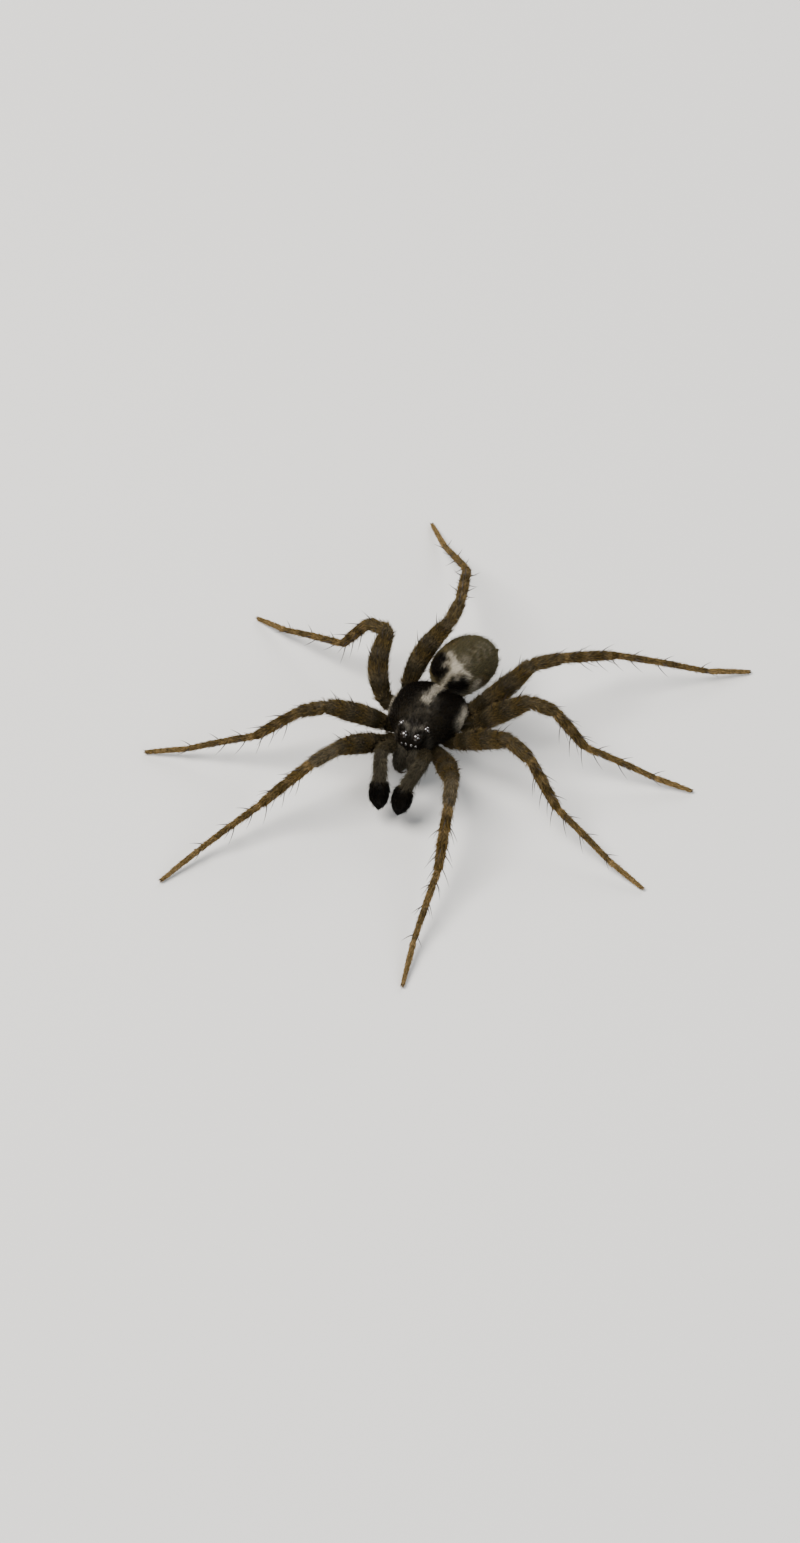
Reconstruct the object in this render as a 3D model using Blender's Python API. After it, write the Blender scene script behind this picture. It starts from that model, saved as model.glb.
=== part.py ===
"""Wolf spider, a life-size still model of an adult male, standing on eight feet.

Metres, +Z up.  The spider faces -Y, its left side is +X, and its feet stand on z = 0.
Sizes are given about a point under the middle of the carapace; the finished spider is then
moved so that the origin is under the centre of its whole box.
"""

import math

import bmesh
import bpy
from mathutils import Matrix, Vector
from mathutils.bvhtree import BVHTree

MM = 0.001
GAP = 0.02 * MM            # clearance between neighbouring pieces
WELD = 0.0005 * MM         # merge distance on freshly made meshes
TUBE_SIDES = 8             # sides of a leg tube
PALP_SIDES = 10
CARAPACE_MESH = (24, 16)   # sides and rings of the larger balls
STERNUM_MESH = (18, 10)
ABDOMEN_MESH = (22, 14)
EYE_MESH = {True: (10, 6), False: (6, 6)}  # large eyes, small eyes

# Front part of the body: a carapace over a flat sternum.
CARAPACE_LENGTH = 3.16 * MM
THORAX_WIDTH = 2.56 * MM
HEAD_WIDTH = 1.40 * MM
MARGIN_HEIGHT = 1.30 * MM  # the carapace's lower edge above the floor
CARAPACE_RISE = 1.05 * MM
CARAPACE_LIP = 0.16 * MM
STERNUM_SIZE = (1.26 * MM, 2.16 * MM, 0.84 * MM)
STERNUM_CENTRE = (0.0, 0.12 * MM, 1.14 * MM)

# Rear part of the body, turned a little to the spider's left.
ABDOMEN_SIZE = (1.94 * MM, 2.52 * MM, 1.74 * MM)
ABDOMEN_CENTRE = (0.591 * MM, 2.350 * MM, 1.87 * MM)
ABDOMEN_FRONT = 3.2        # 2 is a round front end, more is blunter
ABDOMEN_EGG = 0.10         # how much broader it is behind its middle
ABDOMEN_SLOPE = 0.05       # how much lower it is behind
ABDOMEN_TURN = math.radians(-24.0)
ABDOMEN_PITCH = math.radians(-4.0)
PEDICEL_RADIUS = 0.20 * MM
# Spinnerets: sideways place, drop and reach of each.
SPINNERETS = (
    (-0.10 * MM, 0.02 * MM, 0.40 * MM),
    (0.10 * MM, 0.02 * MM, 0.40 * MM),
    (-0.09 * MM, -0.13 * MM, 0.36 * MM),
    (0.09 * MM, -0.13 * MM, 0.36 * MM),
)
SPINNERET_RADII = (0.09 * MM, 0.085 * MM, 0.045 * MM)

# Eyes: name, radius, sideways place, height above the margin, and how far back from the
# front end the ray that finds the head's surface starts looking from above (0 = from ahead).
EYES = (
    ("median_small", 0.062 * MM, 0.095 * MM, 0.50 * MM, 0.0),
    ("side_small", 0.052 * MM, 0.250 * MM, 0.47 * MM, 0.0),
    ("front_large", 0.140 * MM, 0.220 * MM, 0.74 * MM, 0.0),
    ("rear_large", 0.125 * MM, 0.450 * MM, 0.80 * MM, 0.62 * MM),
)
EYE_STAND = 0.35           # share of an eye's radius by which its centre sits under the skin

# Legs: segment lengths from the trochanter out, for pairs 1 to 4.
SEGMENTS = ("femur", "patella", "tibia", "metatarsus", "tarsus")
LEG_LENGTHS = (
    (2.34 * MM, 0.95 * MM, 2.15 * MM, 2.50 * MM, 1.70 * MM),
    (2.35 * MM, 0.90 * MM, 1.85 * MM, 2.40 * MM, 1.50 * MM),
    (2.30 * MM, 0.85 * MM, 1.70 * MM, 2.50 * MM, 1.35 * MM),
    (2.60 * MM, 1.05 * MM, 2.35 * MM, 3.35 * MM, 1.55 * MM),
)
COXA_ROOT_X = 0.42 * MM
COXA_ROOT_Y = (-0.68 * MM, -0.15 * MM, 0.38 * MM, 0.92 * MM)
COXA_LENGTH = (0.80 * MM, 0.85 * MM, 1.20 * MM, 0.85 * MM)
COXA_HEIGHT = 1.03 * MM
TROCHANTER_HEIGHT = 1.13 * MM
ANKLE_HEIGHT = 0.40 * MM   # end of the metatarsus
TOE_HEIGHT = 0.17 * MM     # end of the tarsus, less than its radius, so that it is flat below
# Radii at the start, middle and end of each segment, coat included.
COXA_RADIUS = 0.25 * MM
SEGMENT_RADII = (
    (0.26 * MM, 0.35 * MM, 0.28 * MM),
    (0.28 * MM, 0.30 * MM, 0.27 * MM),
    (0.27 * MM, 0.28 * MM, 0.26 * MM),
    (0.26 * MM, 0.255 * MM, 0.25 * MM),
    (0.25 * MM, 0.25 * MM, 0.23 * MM),
)
FEMUR_ARCH = 0.10 * MM     # how far the middle of a femur stands above the line of its ends
# Pose: side, pair, how far the coxa swings back from straight out, headings of femur,
# tibia, metatarsus and tarsus in degrees from +X, height of the knee, height of the
# tibia's far end, and how far the middle of the femur bends to the left of its heading.
POSE = (
    ("left", 1, -38.0, -61.5, -81.0, -89.0, -83.0, 2.40 * MM, 1.15 * MM, 0.0),
    ("left", 2, -12.0, -11.0, -31.0, -24.0, -20.0, 2.40 * MM, 1.15 * MM, 0.0),
    ("left", 3, 9.0, 12.0, -2.0, 3.0, 6.0, 2.60 * MM, 1.15 * MM, 0.0),
    ("left", 4, 10.0, 38.0, 48.0, 26.0, 30.0, 2.64 * MM, 1.55 * MM, -0.10 * MM),
    ("right", 1, -38.0, -116.5, -134.0, -127.0, -120.0, 2.40 * MM, 1.15 * MM, 0.0),
    ("right", 2, -12.0, -146.0, -157.0, -163.0, -165.0, 2.45 * MM, 1.20 * MM, 0.0),
    ("right", 3, 10.0, 105.0, 178.0, 166.0, 160.0, 2.80 * MM, 1.20 * MM, 0.28 * MM),
    ("right", 4, 38.0, 56.5, 103.0, 124.0, 128.0, 3.08 * MM, 2.20 * MM, 0.18 * MM),
)

# Palps of an adult male: a short leg that ends in a swollen black tip.
PALP_JOINTS = (
    (0.40 * MM, -1.02 * MM, 1.12 * MM),
    (0.76 * MM, -2.04 * MM, 1.86 * MM),
    (0.46 * MM, -2.98 * MM, 1.48 * MM),
    (0.32 * MM, -3.46 * MM, 0.62 * MM),
)
PALP_RADII = (
    (0.19 * MM, 0.24 * MM, 0.24 * MM),
    (0.24 * MM, 0.26 * MM, 0.26 * MM),
    (0.26 * MM, 0.37 * MM, 0.30 * MM),
)
PALP_NAMES = ("femur", "tibia", "tarsus")

# Jaws: two downward bodies under the face, each with a small folded fang.
JAW_PATH = (
    (0.25 * MM, -1.34 * MM, 1.62 * MM),
    (0.26 * MM, -1.58 * MM, 1.30 * MM),
    (0.26 * MM, -1.68 * MM, 0.95 * MM),
    (0.25 * MM, -1.67 * MM, 0.70 * MM),
    (0.24 * MM, -1.64 * MM, 0.61 * MM),
)
JAW_RADII = (0.20 * MM, 0.25 * MM, 0.25 * MM, 0.19 * MM, 0.11 * MM)
FANG_PATH = (
    (0.30 * MM, -1.68 * MM, 0.68 * MM),
    (0.27 * MM, -1.72 * MM, 0.58 * MM),
    (0.17 * MM, -1.70 * MM, 0.54 * MM),
    (0.06 * MM, -1.62 * MM, 0.57 * MM),
)
FANG_RADII = (0.07 * MM, 0.06 * MM, 0.045 * MM, 0.015 * MM)

COLOURS = {
    "dark_coat": ((0.020, 0.017, 0.013), 0.62),
    "grey_coat": ((0.075, 0.066, 0.045), 0.70),
    "black_coat": ((0.008, 0.006, 0.004), 0.55),
    "brown_leg": ((0.100, 0.068, 0.032), 0.58),
    "light_leg": ((0.180, 0.125, 0.062), 0.55),
    "eye": ((0.006, 0.005, 0.005), 0.08),
}


def clear_scene():
    for obj in list(bpy.data.objects):
        bpy.data.objects.remove(obj, do_unlink=True)


def make_collections():
    parts = bpy.data.collections.new("wolf_spider")
    guides = bpy.data.collections.new("guides")
    for collection in (parts, guides):
        bpy.context.scene.collection.children.link(collection)
    return parts, guides


def make_materials():
    made = {}
    for name, (colour, roughness) in COLOURS.items():
        material = bpy.data.materials.new(name)
        material.use_nodes = True
        shader = material.node_tree.nodes["Principled BSDF"]
        shader.inputs["Base Color"].default_value = (*colour, 1.0)
        shader.inputs["Roughness"].default_value = roughness
        made[name] = material
    return made


def heading(degrees):
    return Vector((math.cos(math.radians(degrees)), math.sin(math.radians(degrees)), 0.0))


def smooth_step(low, high, value):
    t = min(max((value - low) / (high - low), 0.0), 1.0)
    return t * t * (3.0 - 2.0 * t)


class Builder:
    """Puts finished meshes into the scene, under one empty."""

    def __init__(self):
        self.parts, self.guides = make_collections()
        self.materials = make_materials()
        self.root = bpy.data.objects.new("spider_root", None)
        self.root.empty_display_size = 2.0 * MM
        self.guides.objects.link(self.root)

    def add(self, name, bm, material, origin):
        """Make a mesh object with its origin at the given place."""
        bmesh.ops.translate(bm, verts=bm.verts, vec=-Vector(origin))
        bmesh.ops.recalc_face_normals(bm, faces=bm.faces)
        mesh = bpy.data.meshes.new(name)
        bm.to_mesh(mesh)
        bm.free()
        mesh.shade_smooth()
        mesh.materials.append(self.materials[material])
        obj = bpy.data.objects.new(name, mesh)
        obj.location = origin
        obj.parent = self.root
        self.parts.objects.link(obj)
        return obj

    def guide(self, name, bm):
        """Make a helper that other pieces are cut with or joined to."""
        bmesh.ops.recalc_face_normals(bm, faces=bm.faces)
        mesh = bpy.data.meshes.new(name)
        bm.to_mesh(mesh)
        bm.free()
        obj = bpy.data.objects.new(name, mesh)
        obj.hide_render = True
        obj.display_type = "WIRE"
        obj.parent = self.root
        self.guides.objects.link(obj)
        return obj

    def centre(self):
        """Move the whole spider so that the floor point under its box's centre is the origin."""
        bpy.context.view_layer.update()
        corners = [obj.matrix_world @ v.co for obj in self.parts.objects for v in obj.data.vertices]
        for axis in (0, 1):
            values = [c[axis] for c in corners]
            self.root.location[axis] = -0.5 * (min(values) + max(values))


def boolean(obj, tool, operation):
    modifier = obj.modifiers.new(f"{operation.lower()}_{tool.name}", "BOOLEAN")
    modifier.operation = operation
    modifier.solver = "EXACT"
    modifier.object = tool


def ball(sides, rings, shape):
    """A closed ball whose poles lie along Y; shape(x, y, z) moves its unit points."""
    bm = bmesh.new()
    bmesh.ops.create_uvsphere(bm, u_segments=sides, v_segments=rings, radius=1.0)
    bmesh.ops.rotate(bm, verts=bm.verts, matrix=Matrix.Rotation(math.pi / 2, 3, "X"))
    for vert in bm.verts:
        vert.co = shape(*vert.co)
    return bm


def ellipsoid(size, centre, sides, rings):
    half = [0.5 * s for s in size]
    centre = Vector(centre)
    return ball(sides, rings, lambda x, y, z: centre + Vector((x * half[0], y * half[1], z * half[2])))


def carapace_point(x, y, z, grow):
    """Unit ball point to carapace: narrow steep head in front, broad low thorax behind."""
    round_off = math.sqrt(max(1.0 - y * y, 0.0))
    blunt = (1.0 - abs(y) ** 3.2) ** (1.0 / 3.2)
    side, up = (x / round_off, z / round_off) if round_off > 1e-6 else (0.0, 0.0)
    thorax = smooth_step(-0.72, 0.02, y)
    half_width = 0.5 * (HEAD_WIDTH + (THORAX_WIDTH - HEAD_WIDTH) * thorax) + grow
    rear_slope = 1.0 - 0.42 * smooth_step(0.15, 1.0, y)
    if up > 0.0:
        rise = (CARAPACE_RISE * rear_slope + grow) * up ** (0.80 + 0.25 * thorax)
    else:
        rise = (CARAPACE_LIP + grow) * up
    width = abs(side) ** (0.78 + 0.22 * thorax) * math.copysign(half_width, side)
    return Vector((
        width * blunt,
        y * (0.5 * CARAPACE_LENGTH + grow),
        MARGIN_HEIGHT + rise * blunt,
    ))


def carapace(grow, sides, rings):
    return ball(sides, rings, lambda x, y, z: carapace_point(x, y, z, grow))


def sternum(grow, sides, rings):
    size = [s + 2.0 * grow for s in STERNUM_SIZE]
    return ellipsoid(size, STERNUM_CENTRE, sides, rings)


def tube(points, radii, sides=TUBE_SIDES):
    """A closed round tube along a line of points, from a bevelled curve."""
    data = bpy.data.curves.new("tube", "CURVE")
    data.dimensions = "3D"
    data.fill_mode = "FULL"
    data.bevel_depth = 1.0
    data.bevel_resolution = sides // 2 - 2
    data.use_fill_caps = True
    spline = data.splines.new("POLY")
    spline.points.add(len(points) - 1)
    for point, place, radius in zip(spline.points, points, radii):
        point.co = (*place, 1.0)
        point.radius = radius
    obj = bpy.data.objects.new("tube", data)
    mesh = bpy.data.meshes.new_from_object(obj)
    bm = bmesh.new()
    bm.from_mesh(mesh)
    bmesh.ops.remove_doubles(bm, verts=bm.verts, dist=WELD)
    bpy.data.objects.remove(obj)
    bpy.data.curves.remove(data)
    bpy.data.meshes.remove(mesh)
    return bm


def cut(bm, point, normal):
    """Take away what lies on the normal's side of a plane and close the cut."""
    result = bmesh.ops.bisect_plane(
        bm,
        geom=bm.verts[:] + bm.edges[:] + bm.faces[:],
        dist=WELD,
        plane_co=point,
        plane_no=normal,
        clear_outer=True,
    )
    rim = [item for item in result["geom_cut"] if isinstance(item, bmesh.types.BMEdge)]
    bmesh.ops.edgeloop_fill(bm, edges=rim)


def profile(start, middle, end, t):
    """Radius along a segment: start, middle and end values on a smooth curve."""
    lift = 4.0 * t * (1.0 - t) * (middle - 0.5 * (start + end))
    return start + (end - start) * t + lift


def mitre(before, after):
    return (before.normalized() + after.normalized()).normalized()


def leg_joints(side, pair, headings, knee_height, tibia_end_height):
    """Joint centres from the coxa's root to the toe."""
    mirror = 1.0 if side == "left" else -1.0
    index = pair - 1
    root = Vector((mirror * COXA_ROOT_X, COXA_ROOT_Y[index], COXA_HEIGHT))
    coxa = heading(headings[0]) * COXA_LENGTH[index]
    joints = [root, root + Vector((mirror * coxa.x, coxa.y, TROCHANTER_HEIGHT - COXA_HEIGHT))]
    femur, tibia, metatarsus, tarsus = (heading(a) for a in headings[1:])
    lengths = LEG_LENGTHS[index]
    patella_drop = 0.12 * (knee_height - tibia_end_height)
    steps = (
        (femur, lengths[0], knee_height),
        ((femur + 3.0 * tibia).normalized(), lengths[1], knee_height - patella_drop),
        (tibia, lengths[2], tibia_end_height),
        (metatarsus, lengths[3], ANKLE_HEIGHT),
        (tarsus, lengths[4], TOE_HEIGHT),
    )
    for direction, length, height in steps:
        last = joints[-1]
        drop = height - last.z
        run = math.sqrt(length * length - drop * drop)
        joints.append(last + direction * run + Vector((0.0, 0.0, drop)))
    return joints


def segment_tube(start, end, radii, bow, before, after, rings):
    """One leg segment, cut to fit its neighbours; before and after are their directions."""
    along = end - start
    overrun = 0.45 * MM
    shares = [i / rings for i in range(rings + 1)]
    points = [start + along * t + Vector((0, 0, bow * math.sin(math.pi * t))) for t in shares]
    sizes = [profile(*radii, t) for t in shares]
    if before is not None:
        points.insert(0, start - along.normalized() * overrun)
        sizes.insert(0, sizes[0])
    if after is not None:
        points.append(end + along.normalized() * overrun)
        sizes.append(sizes[-1])
    bm = tube(points, sizes)
    if before is not None:
        plane = mitre(before, along)
        cut(bm, start + plane * 0.5 * GAP, -plane)
    if after is not None:
        plane = mitre(along, after)
        cut(bm, end - plane * 0.5 * GAP, plane)
    return bm


def leg_base(joints, bend):
    """Coxa, trochanter and femur in one, cut at the knee."""
    root, hip, knee = joints[:3]
    thigh = knee - hip
    sideways = Vector((-thigh.y, thigh.x, 0.0)).normalized() * bend
    bow = sideways + Vector((0.0, 0.0, FEMUR_ARCH))
    shares = (0.12, 0.3, 0.5, 0.7, 0.88, 1.0)
    points = [root, root.lerp(hip, 0.45), root.lerp(hip, 0.85)]
    sizes = [COXA_RADIUS * s for s in (0.95, 1.04, 0.96)]
    for t in shares:
        points.append(hip + thigh * t + bow * math.sin(math.pi * t))
        sizes.append(profile(*SEGMENT_RADII[0], t))
    points.append(knee + thigh.normalized() * 0.45 * MM)
    sizes.append(sizes[-1])
    bm = tube(points, sizes)
    plane = mitre(thigh, joints[3] - knee)
    cut(bm, knee - plane * 0.5 * GAP, plane)
    return bm


def foot(start, end, radii, before):
    """The tarsus, rounded at the toe and flat where it stands."""
    along = end - start
    shares = (0.0, 0.3, 0.6, 0.86, 0.95, 1.0)
    taper = (1.0, 1.0, 1.0, 0.97, 0.80, 0.45)
    points = [start - along.normalized() * 0.45 * MM]
    sizes = [radii[0]]
    for t, share in zip(shares, taper):
        points.append(start + along * t)
        sizes.append(profile(*radii, t) * share)
    bm = tube(points, sizes)
    plane = mitre(before, along)
    cut(bm, start + plane * 0.5 * GAP, -plane)
    cut(bm, Vector((0, 0, 0)), Vector((0, 0, -1)))
    return bm


def build_leg(builder, body_tool, pose):
    side, pair, *angles, knee_height, tibia_end_height, bend = pose
    joints = leg_joints(side, pair, angles, knee_height, tibia_end_height)
    spans = [b - a for a, b in zip(joints[1:], joints[2:])]
    name = f"leg_{pair}_{side}"
    base = builder.add(f"{name}_femur", leg_base(joints, bend), "dark_coat", joints[1])
    boolean(base, body_tool, "DIFFERENCE")
    bows = (0.0, 0.02 * MM, 0.03 * MM, 0.03 * MM)
    rings = (0, 3, 5, 4)
    for i in (1, 2, 3):
        bm = segment_tube(
            joints[i + 1], joints[i + 2], SEGMENT_RADII[i], bows[i], spans[i - 1], spans[i + 1], rings[i]
        )
        colour = "dark_coat" if i == 1 else "brown_leg"
        builder.add(f"{name}_{SEGMENTS[i]}", bm, colour, joints[i + 1])
    bm = foot(joints[5], joints[6], SEGMENT_RADII[4], spans[3])
    builder.add(f"{name}_tarsus", bm, "light_leg", joints[5])


def mirrored(points, mirror):
    return [Vector((mirror * x, y, z)) for x, y, z in points]


def build_palp(builder, body_tool, side, mirror):
    joints = mirrored(PALP_JOINTS, mirror)
    spans = [b - a for a, b in zip(joints, joints[1:])]
    names = [f"palp_{side}_{part}" for part in PALP_NAMES]
    femur = segment_tube(joints[0], joints[1], PALP_RADII[0], 0.05 * MM, None, spans[1], 5)
    base = builder.add(names[0], femur, "dark_coat", joints[0])
    boolean(base, body_tool, "DIFFERENCE")
    tibia = segment_tube(joints[1], joints[2], PALP_RADII[1], 0.02 * MM, spans[0], spans[2], 4)
    builder.add(names[1], tibia, "black_coat", joints[1])
    tip = palp_tip(joints[2], joints[3], spans[1])
    builder.add(names[2], tip, "black_coat", joints[2])


def palp_tip(start, end, before):
    """The swollen last joint with the bulb below it, drawn out to a blunt point."""
    along = end - start
    shares = (0.0, 0.15, 0.35, 0.55, 0.75, 0.9, 1.0)
    taper = (0.84, 0.96, 1.0, 0.98, 0.82, 0.55, 0.28)
    points = [start - along.normalized() * 0.45 * MM]
    sizes = [PALP_RADII[2][0]]
    for t, share in zip(shares, taper):
        points.append(start + along * t)
        sizes.append(profile(*PALP_RADII[2], t) * share)
    sizes[1] = PALP_RADII[2][0]
    bm = tube(points, sizes, PALP_SIDES)
    plane = mitre(before, along)
    cut(bm, start + plane * 0.5 * GAP, -plane)
    return bm


def build_jaw(builder, body_tool, side, mirror):
    bm = tube(mirrored(JAW_PATH, mirror), JAW_RADII, PALP_SIDES)
    cut(bm, Vector((mirror * 0.5 * GAP, 0, 0)), Vector((-mirror, 0, 0)))
    jaw = builder.add(f"chelicera_{side}", bm, "dark_coat", (mirror * JAW_PATH[0][0], *JAW_PATH[0][1:]))
    fang = builder.guide(f"fang_{side}", tube(mirrored(FANG_PATH, mirror), FANG_RADII, 6))
    boolean(jaw, fang, "UNION")
    boolean(jaw, body_tool, "DIFFERENCE")


def build_eyes(builder, prosoma, surface):
    """Eyes set in shallow sockets on the head, found by looking at its surface."""
    for name, radius, x, height, back in EYES:
        for side, mirror in (("left", 1.0), ("right", -1.0)):
            if back:
                origin = Vector((mirror * x, -0.5 * CARAPACE_LENGTH + back, 4.0 * MM))
                look = Vector((0, 0, -1))
            else:
                origin = Vector((mirror * x, -4.0 * MM, MARGIN_HEIGHT + height))
                look = Vector((0, 1, 0))
            hit, normal, _, _ = surface.ray_cast(origin, look)
            centre = hit - normal * EYE_STAND * radius
            mesh_size = EYE_MESH[radius > 0.1 * MM]
            socket = ellipsoid([2.0 * (radius + GAP)] * 3, centre, *mesh_size)
            tool = builder.guide(f"socket_{name}_{side}", socket)
            boolean(prosoma, tool, "DIFFERENCE")
            eye = ellipsoid([2.0 * radius] * 3, centre, *mesh_size)
            builder.add(f"eye_{name}_{side}", eye, "eye", centre)


def abdomen_point(x, y, z, grow):
    """Egg shape, broadest behind its middle and blunt in front, seated on its own axis."""
    half = [0.5 * s + grow for s in ABDOMEN_SIZE]
    power = ABDOMEN_FRONT if y < 0.0 else 2.0
    round_end = math.sqrt(max(1.0 - y * y, 1e-6))
    blunt = max(1.0 - abs(y) ** power, 0.0) ** (1.0 / power) / round_end
    across = half[0] * blunt * (1.0 + ABDOMEN_EGG * y * (1.0 - y))
    rise = half[2] * blunt * (1.0 - ABDOMEN_SLOPE * y)
    local = Vector((x * across, y * half[1], z * rise))
    turn = Matrix.Rotation(ABDOMEN_TURN, 3, "Z") @ Matrix.Rotation(ABDOMEN_PITCH, 3, "X")
    return turn @ local + Vector(ABDOMEN_CENTRE)


def abdomen(grow, sides, rings):
    return ball(sides, rings, lambda x, y, z: abdomen_point(x, y, z, grow))


def build_spinnerets(builder, abdomen_tool):
    """Four short cones under the tail on a common base."""
    tail = abdomen_point(0.0, 0.93, -0.32, 0.0)
    back = (abdomen_point(0.0, 1.0, 0.0, 0.0) - Vector(ABDOMEN_CENTRE)).normalized()
    across = back.cross(Vector((0, 0, 1))).normalized()
    base = builder.add(
        "spinnerets",
        ellipsoid([0.40 * MM] * 3, tail, 10, 8),
        "dark_coat",
        tail,
    )
    for i, (sideways, drop, reach) in enumerate(SPINNERETS):
        start = tail + across * sideways + Vector((0, 0, drop))
        end = start + back * reach + Vector((0, 0, 0.5 * drop))
        cone = tube([start, start.lerp(end, 0.6), end], SPINNERET_RADII, 6)
        boolean(base, builder.guide(f"spinneret_{i}", cone), "UNION")
    boolean(base, abdomen_tool, "DIFFERENCE")


def build_body(builder):
    shell = carapace(0.0, *CARAPACE_MESH)
    belly = sternum(0.0, *STERNUM_MESH)
    surface = BVHTree.FromBMesh(shell)
    prosoma = builder.add("prosoma", shell, "dark_coat", (0.0, 0.0, MARGIN_HEIGHT))
    boolean(prosoma, builder.guide("sternum", belly), "UNION")
    body_tool = builder.guide("body_clearance", carapace(GAP, *CARAPACE_MESH))
    boolean(body_tool, builder.guide("sternum_clearance", sternum(GAP, *STERNUM_MESH)), "UNION")
    rear = builder.add("abdomen", abdomen(0.0, *ABDOMEN_MESH), "grey_coat", ABDOMEN_CENTRE)
    stalk_start = Vector((0.0, 0.5 * CARAPACE_LENGTH - 0.30 * MM, MARGIN_HEIGHT + 0.05 * MM))
    stalk = tube([stalk_start, Vector(ABDOMEN_CENTRE)], [PEDICEL_RADIUS] * 2, 10)
    boolean(rear, builder.guide("pedicel", stalk), "UNION")
    boolean(rear, body_tool, "DIFFERENCE")
    build_spinnerets(builder, builder.guide("abdomen_clearance", abdomen(GAP, *ABDOMEN_MESH)))
    return prosoma, body_tool, surface


def main():
    clear_scene()
    builder = Builder()
    prosoma, body_tool, surface = build_body(builder)
    build_eyes(builder, prosoma, surface)
    for side, mirror in (("left", 1.0), ("right", -1.0)):
        build_jaw(builder, body_tool, side, mirror)
        build_palp(builder, body_tool, side, mirror)
    for pose in POSE:
        build_leg(builder, body_tool, pose)
    builder.centre()


main()
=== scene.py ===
"""Looks of the wolf spider: skin, eyes, fangs, claws, spines and a coat of modelled hairs.

Metres, +Z up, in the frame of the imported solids.  The spider faces -Y and its left is +X.
"""
import itertools
import math

import bmesh
import bpy
import numpy as np
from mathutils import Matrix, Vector
from mathutils.kdtree import KDTree


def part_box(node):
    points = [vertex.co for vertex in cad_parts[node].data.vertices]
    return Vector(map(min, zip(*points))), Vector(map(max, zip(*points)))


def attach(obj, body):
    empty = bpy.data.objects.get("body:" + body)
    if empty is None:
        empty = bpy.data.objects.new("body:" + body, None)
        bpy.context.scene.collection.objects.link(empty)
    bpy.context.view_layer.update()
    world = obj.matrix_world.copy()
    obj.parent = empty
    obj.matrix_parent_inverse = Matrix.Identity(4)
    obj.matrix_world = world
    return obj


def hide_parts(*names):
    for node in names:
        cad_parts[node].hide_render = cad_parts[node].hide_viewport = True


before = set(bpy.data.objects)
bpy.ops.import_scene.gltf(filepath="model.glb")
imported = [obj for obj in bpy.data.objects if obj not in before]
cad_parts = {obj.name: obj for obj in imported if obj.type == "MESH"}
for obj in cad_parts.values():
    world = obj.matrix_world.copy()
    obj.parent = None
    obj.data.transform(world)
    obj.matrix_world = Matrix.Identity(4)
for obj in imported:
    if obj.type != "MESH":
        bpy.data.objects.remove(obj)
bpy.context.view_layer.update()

MM = 0.001


def mm(*values):
    """Millimetres, single or in rows, as metres."""
    return np.array(values) * MM


UP = np.array([0.0, 0.0, 1.0])
SIDES = (("left", 1.0), ("right", -1.0))
PAIRS = (1, 2, 3, 4)
LEG_PARTS = ("femur", "patella", "tibia", "metatarsus", "tarsus")
PALP_PARTS = ("femur", "tibia", "tarsus")

# Front body under the coat.  A grid is rings and sides, and shares along run from -1, at the
# face, to 1; an outline's power is 2 for a round end and more for a blunter one.
CARAPACE_GRID = (76, 88)
CARAPACE_LENGTH = 3.06 * MM
CARAPACE_POWER = 3.2
CARAPACE_RISE = 1.00 * MM
CARAPACE_LIP = 0.13 * MM
THORAX_WIDTH = 2.44 * MM
HEAD_WIDTH = 1.32 * MM
HEAD_WIDENS = (-0.72, 0.02)
REAR_SLOPE = 0.42
MARGIN_HEIGHT = 1.30 * MM
PIT_ALONG = 0.30
PIT_DEPTH = 0.06 * MM
GROOVE_MEET = 0.22
GROOVE_BEARINGS = (0.62, 1.15, 1.65, 2.20)
GROOVE_DEPTH = 0.026 * MM
# Below the shield: the sternum and the mouth parts, placed from the lowest middle of the front
# body, then the waist.
STERNUM_PLACE = mm(0.0, 0.12, 0.42)
STERNUM_SIZE = mm(1.22, 2.10, 0.76)
MOUTH_PLACE = mm(0.0, -1.08, 0.22)
MOUTH_LOBE_SIZE = mm(0.26, 0.50, 0.36)
MOUTH_LIP_SIZE = mm(0.20, 0.34, 0.28)
WAIST_RADIUS = 0.15 * MM
WAIST_RIBS = 0.02 * MM
WAIST_SIDES = 16
WAIST_STEP = 0.06 * MM

# Abdomen under the coat.  It is turned to the spider's left, and its markings roll that way.
ABDOMEN_GRID = (72, 84)
ABDOMEN_SIZE = mm(1.82, 2.40, 1.62)
ABDOMEN_FRONT_POWER = 3.2
ABDOMEN_SWELL = 0.10
ABDOMEN_SLOPE = 0.05
ABDOMEN_COAT = 0.06 * MM
ABDOMEN_TURN = math.radians(-24.0)
ABDOMEN_PITCH = math.radians(-4.0)
ABDOMEN_ROLL = math.radians(-26.0)
DIMPLES_ALONG = (-0.12, 0.15, 0.39)
DIMPLE_DEPTH = 0.02 * MM
CREASE_DEPTH = 0.010 * MM
TAIL_BASE_SIZE = mm(0.36, 0.36, 0.36)
TAIL_LOBE_SIZE = mm(0.14, 0.22, 0.10)
# A spinneret's place out and up, its length and its radius, in mm.
SPINNERETS = ((0.085, 0.03, 0.40, 0.070), (0.035, -0.04, 0.24, 0.040), (0.080, -0.12, 0.36, 0.078))
SPINNERET_SIDES = 12
SPINNERET_STEP = 0.02 * MM

# Coxae about the middle of the body: inner ends, lengths, and degrees of swing to the back.
COXA_ROOT_X = 0.42 * MM
COXA_ROOT_Y = mm(-0.68, -0.15, 0.38, 0.92)
COXA_LENGTHS = mm(0.80, 0.85, 1.20, 0.85)
COXA_SWINGS = {"left": (-38.0, -12.0, 9.0, 10.0), "right": (-38.0, -12.0, 10.0, 38.0)}
COXA_HEIGHT = 1.03 * MM
HIP_HEIGHT = 1.13 * MM

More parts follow.
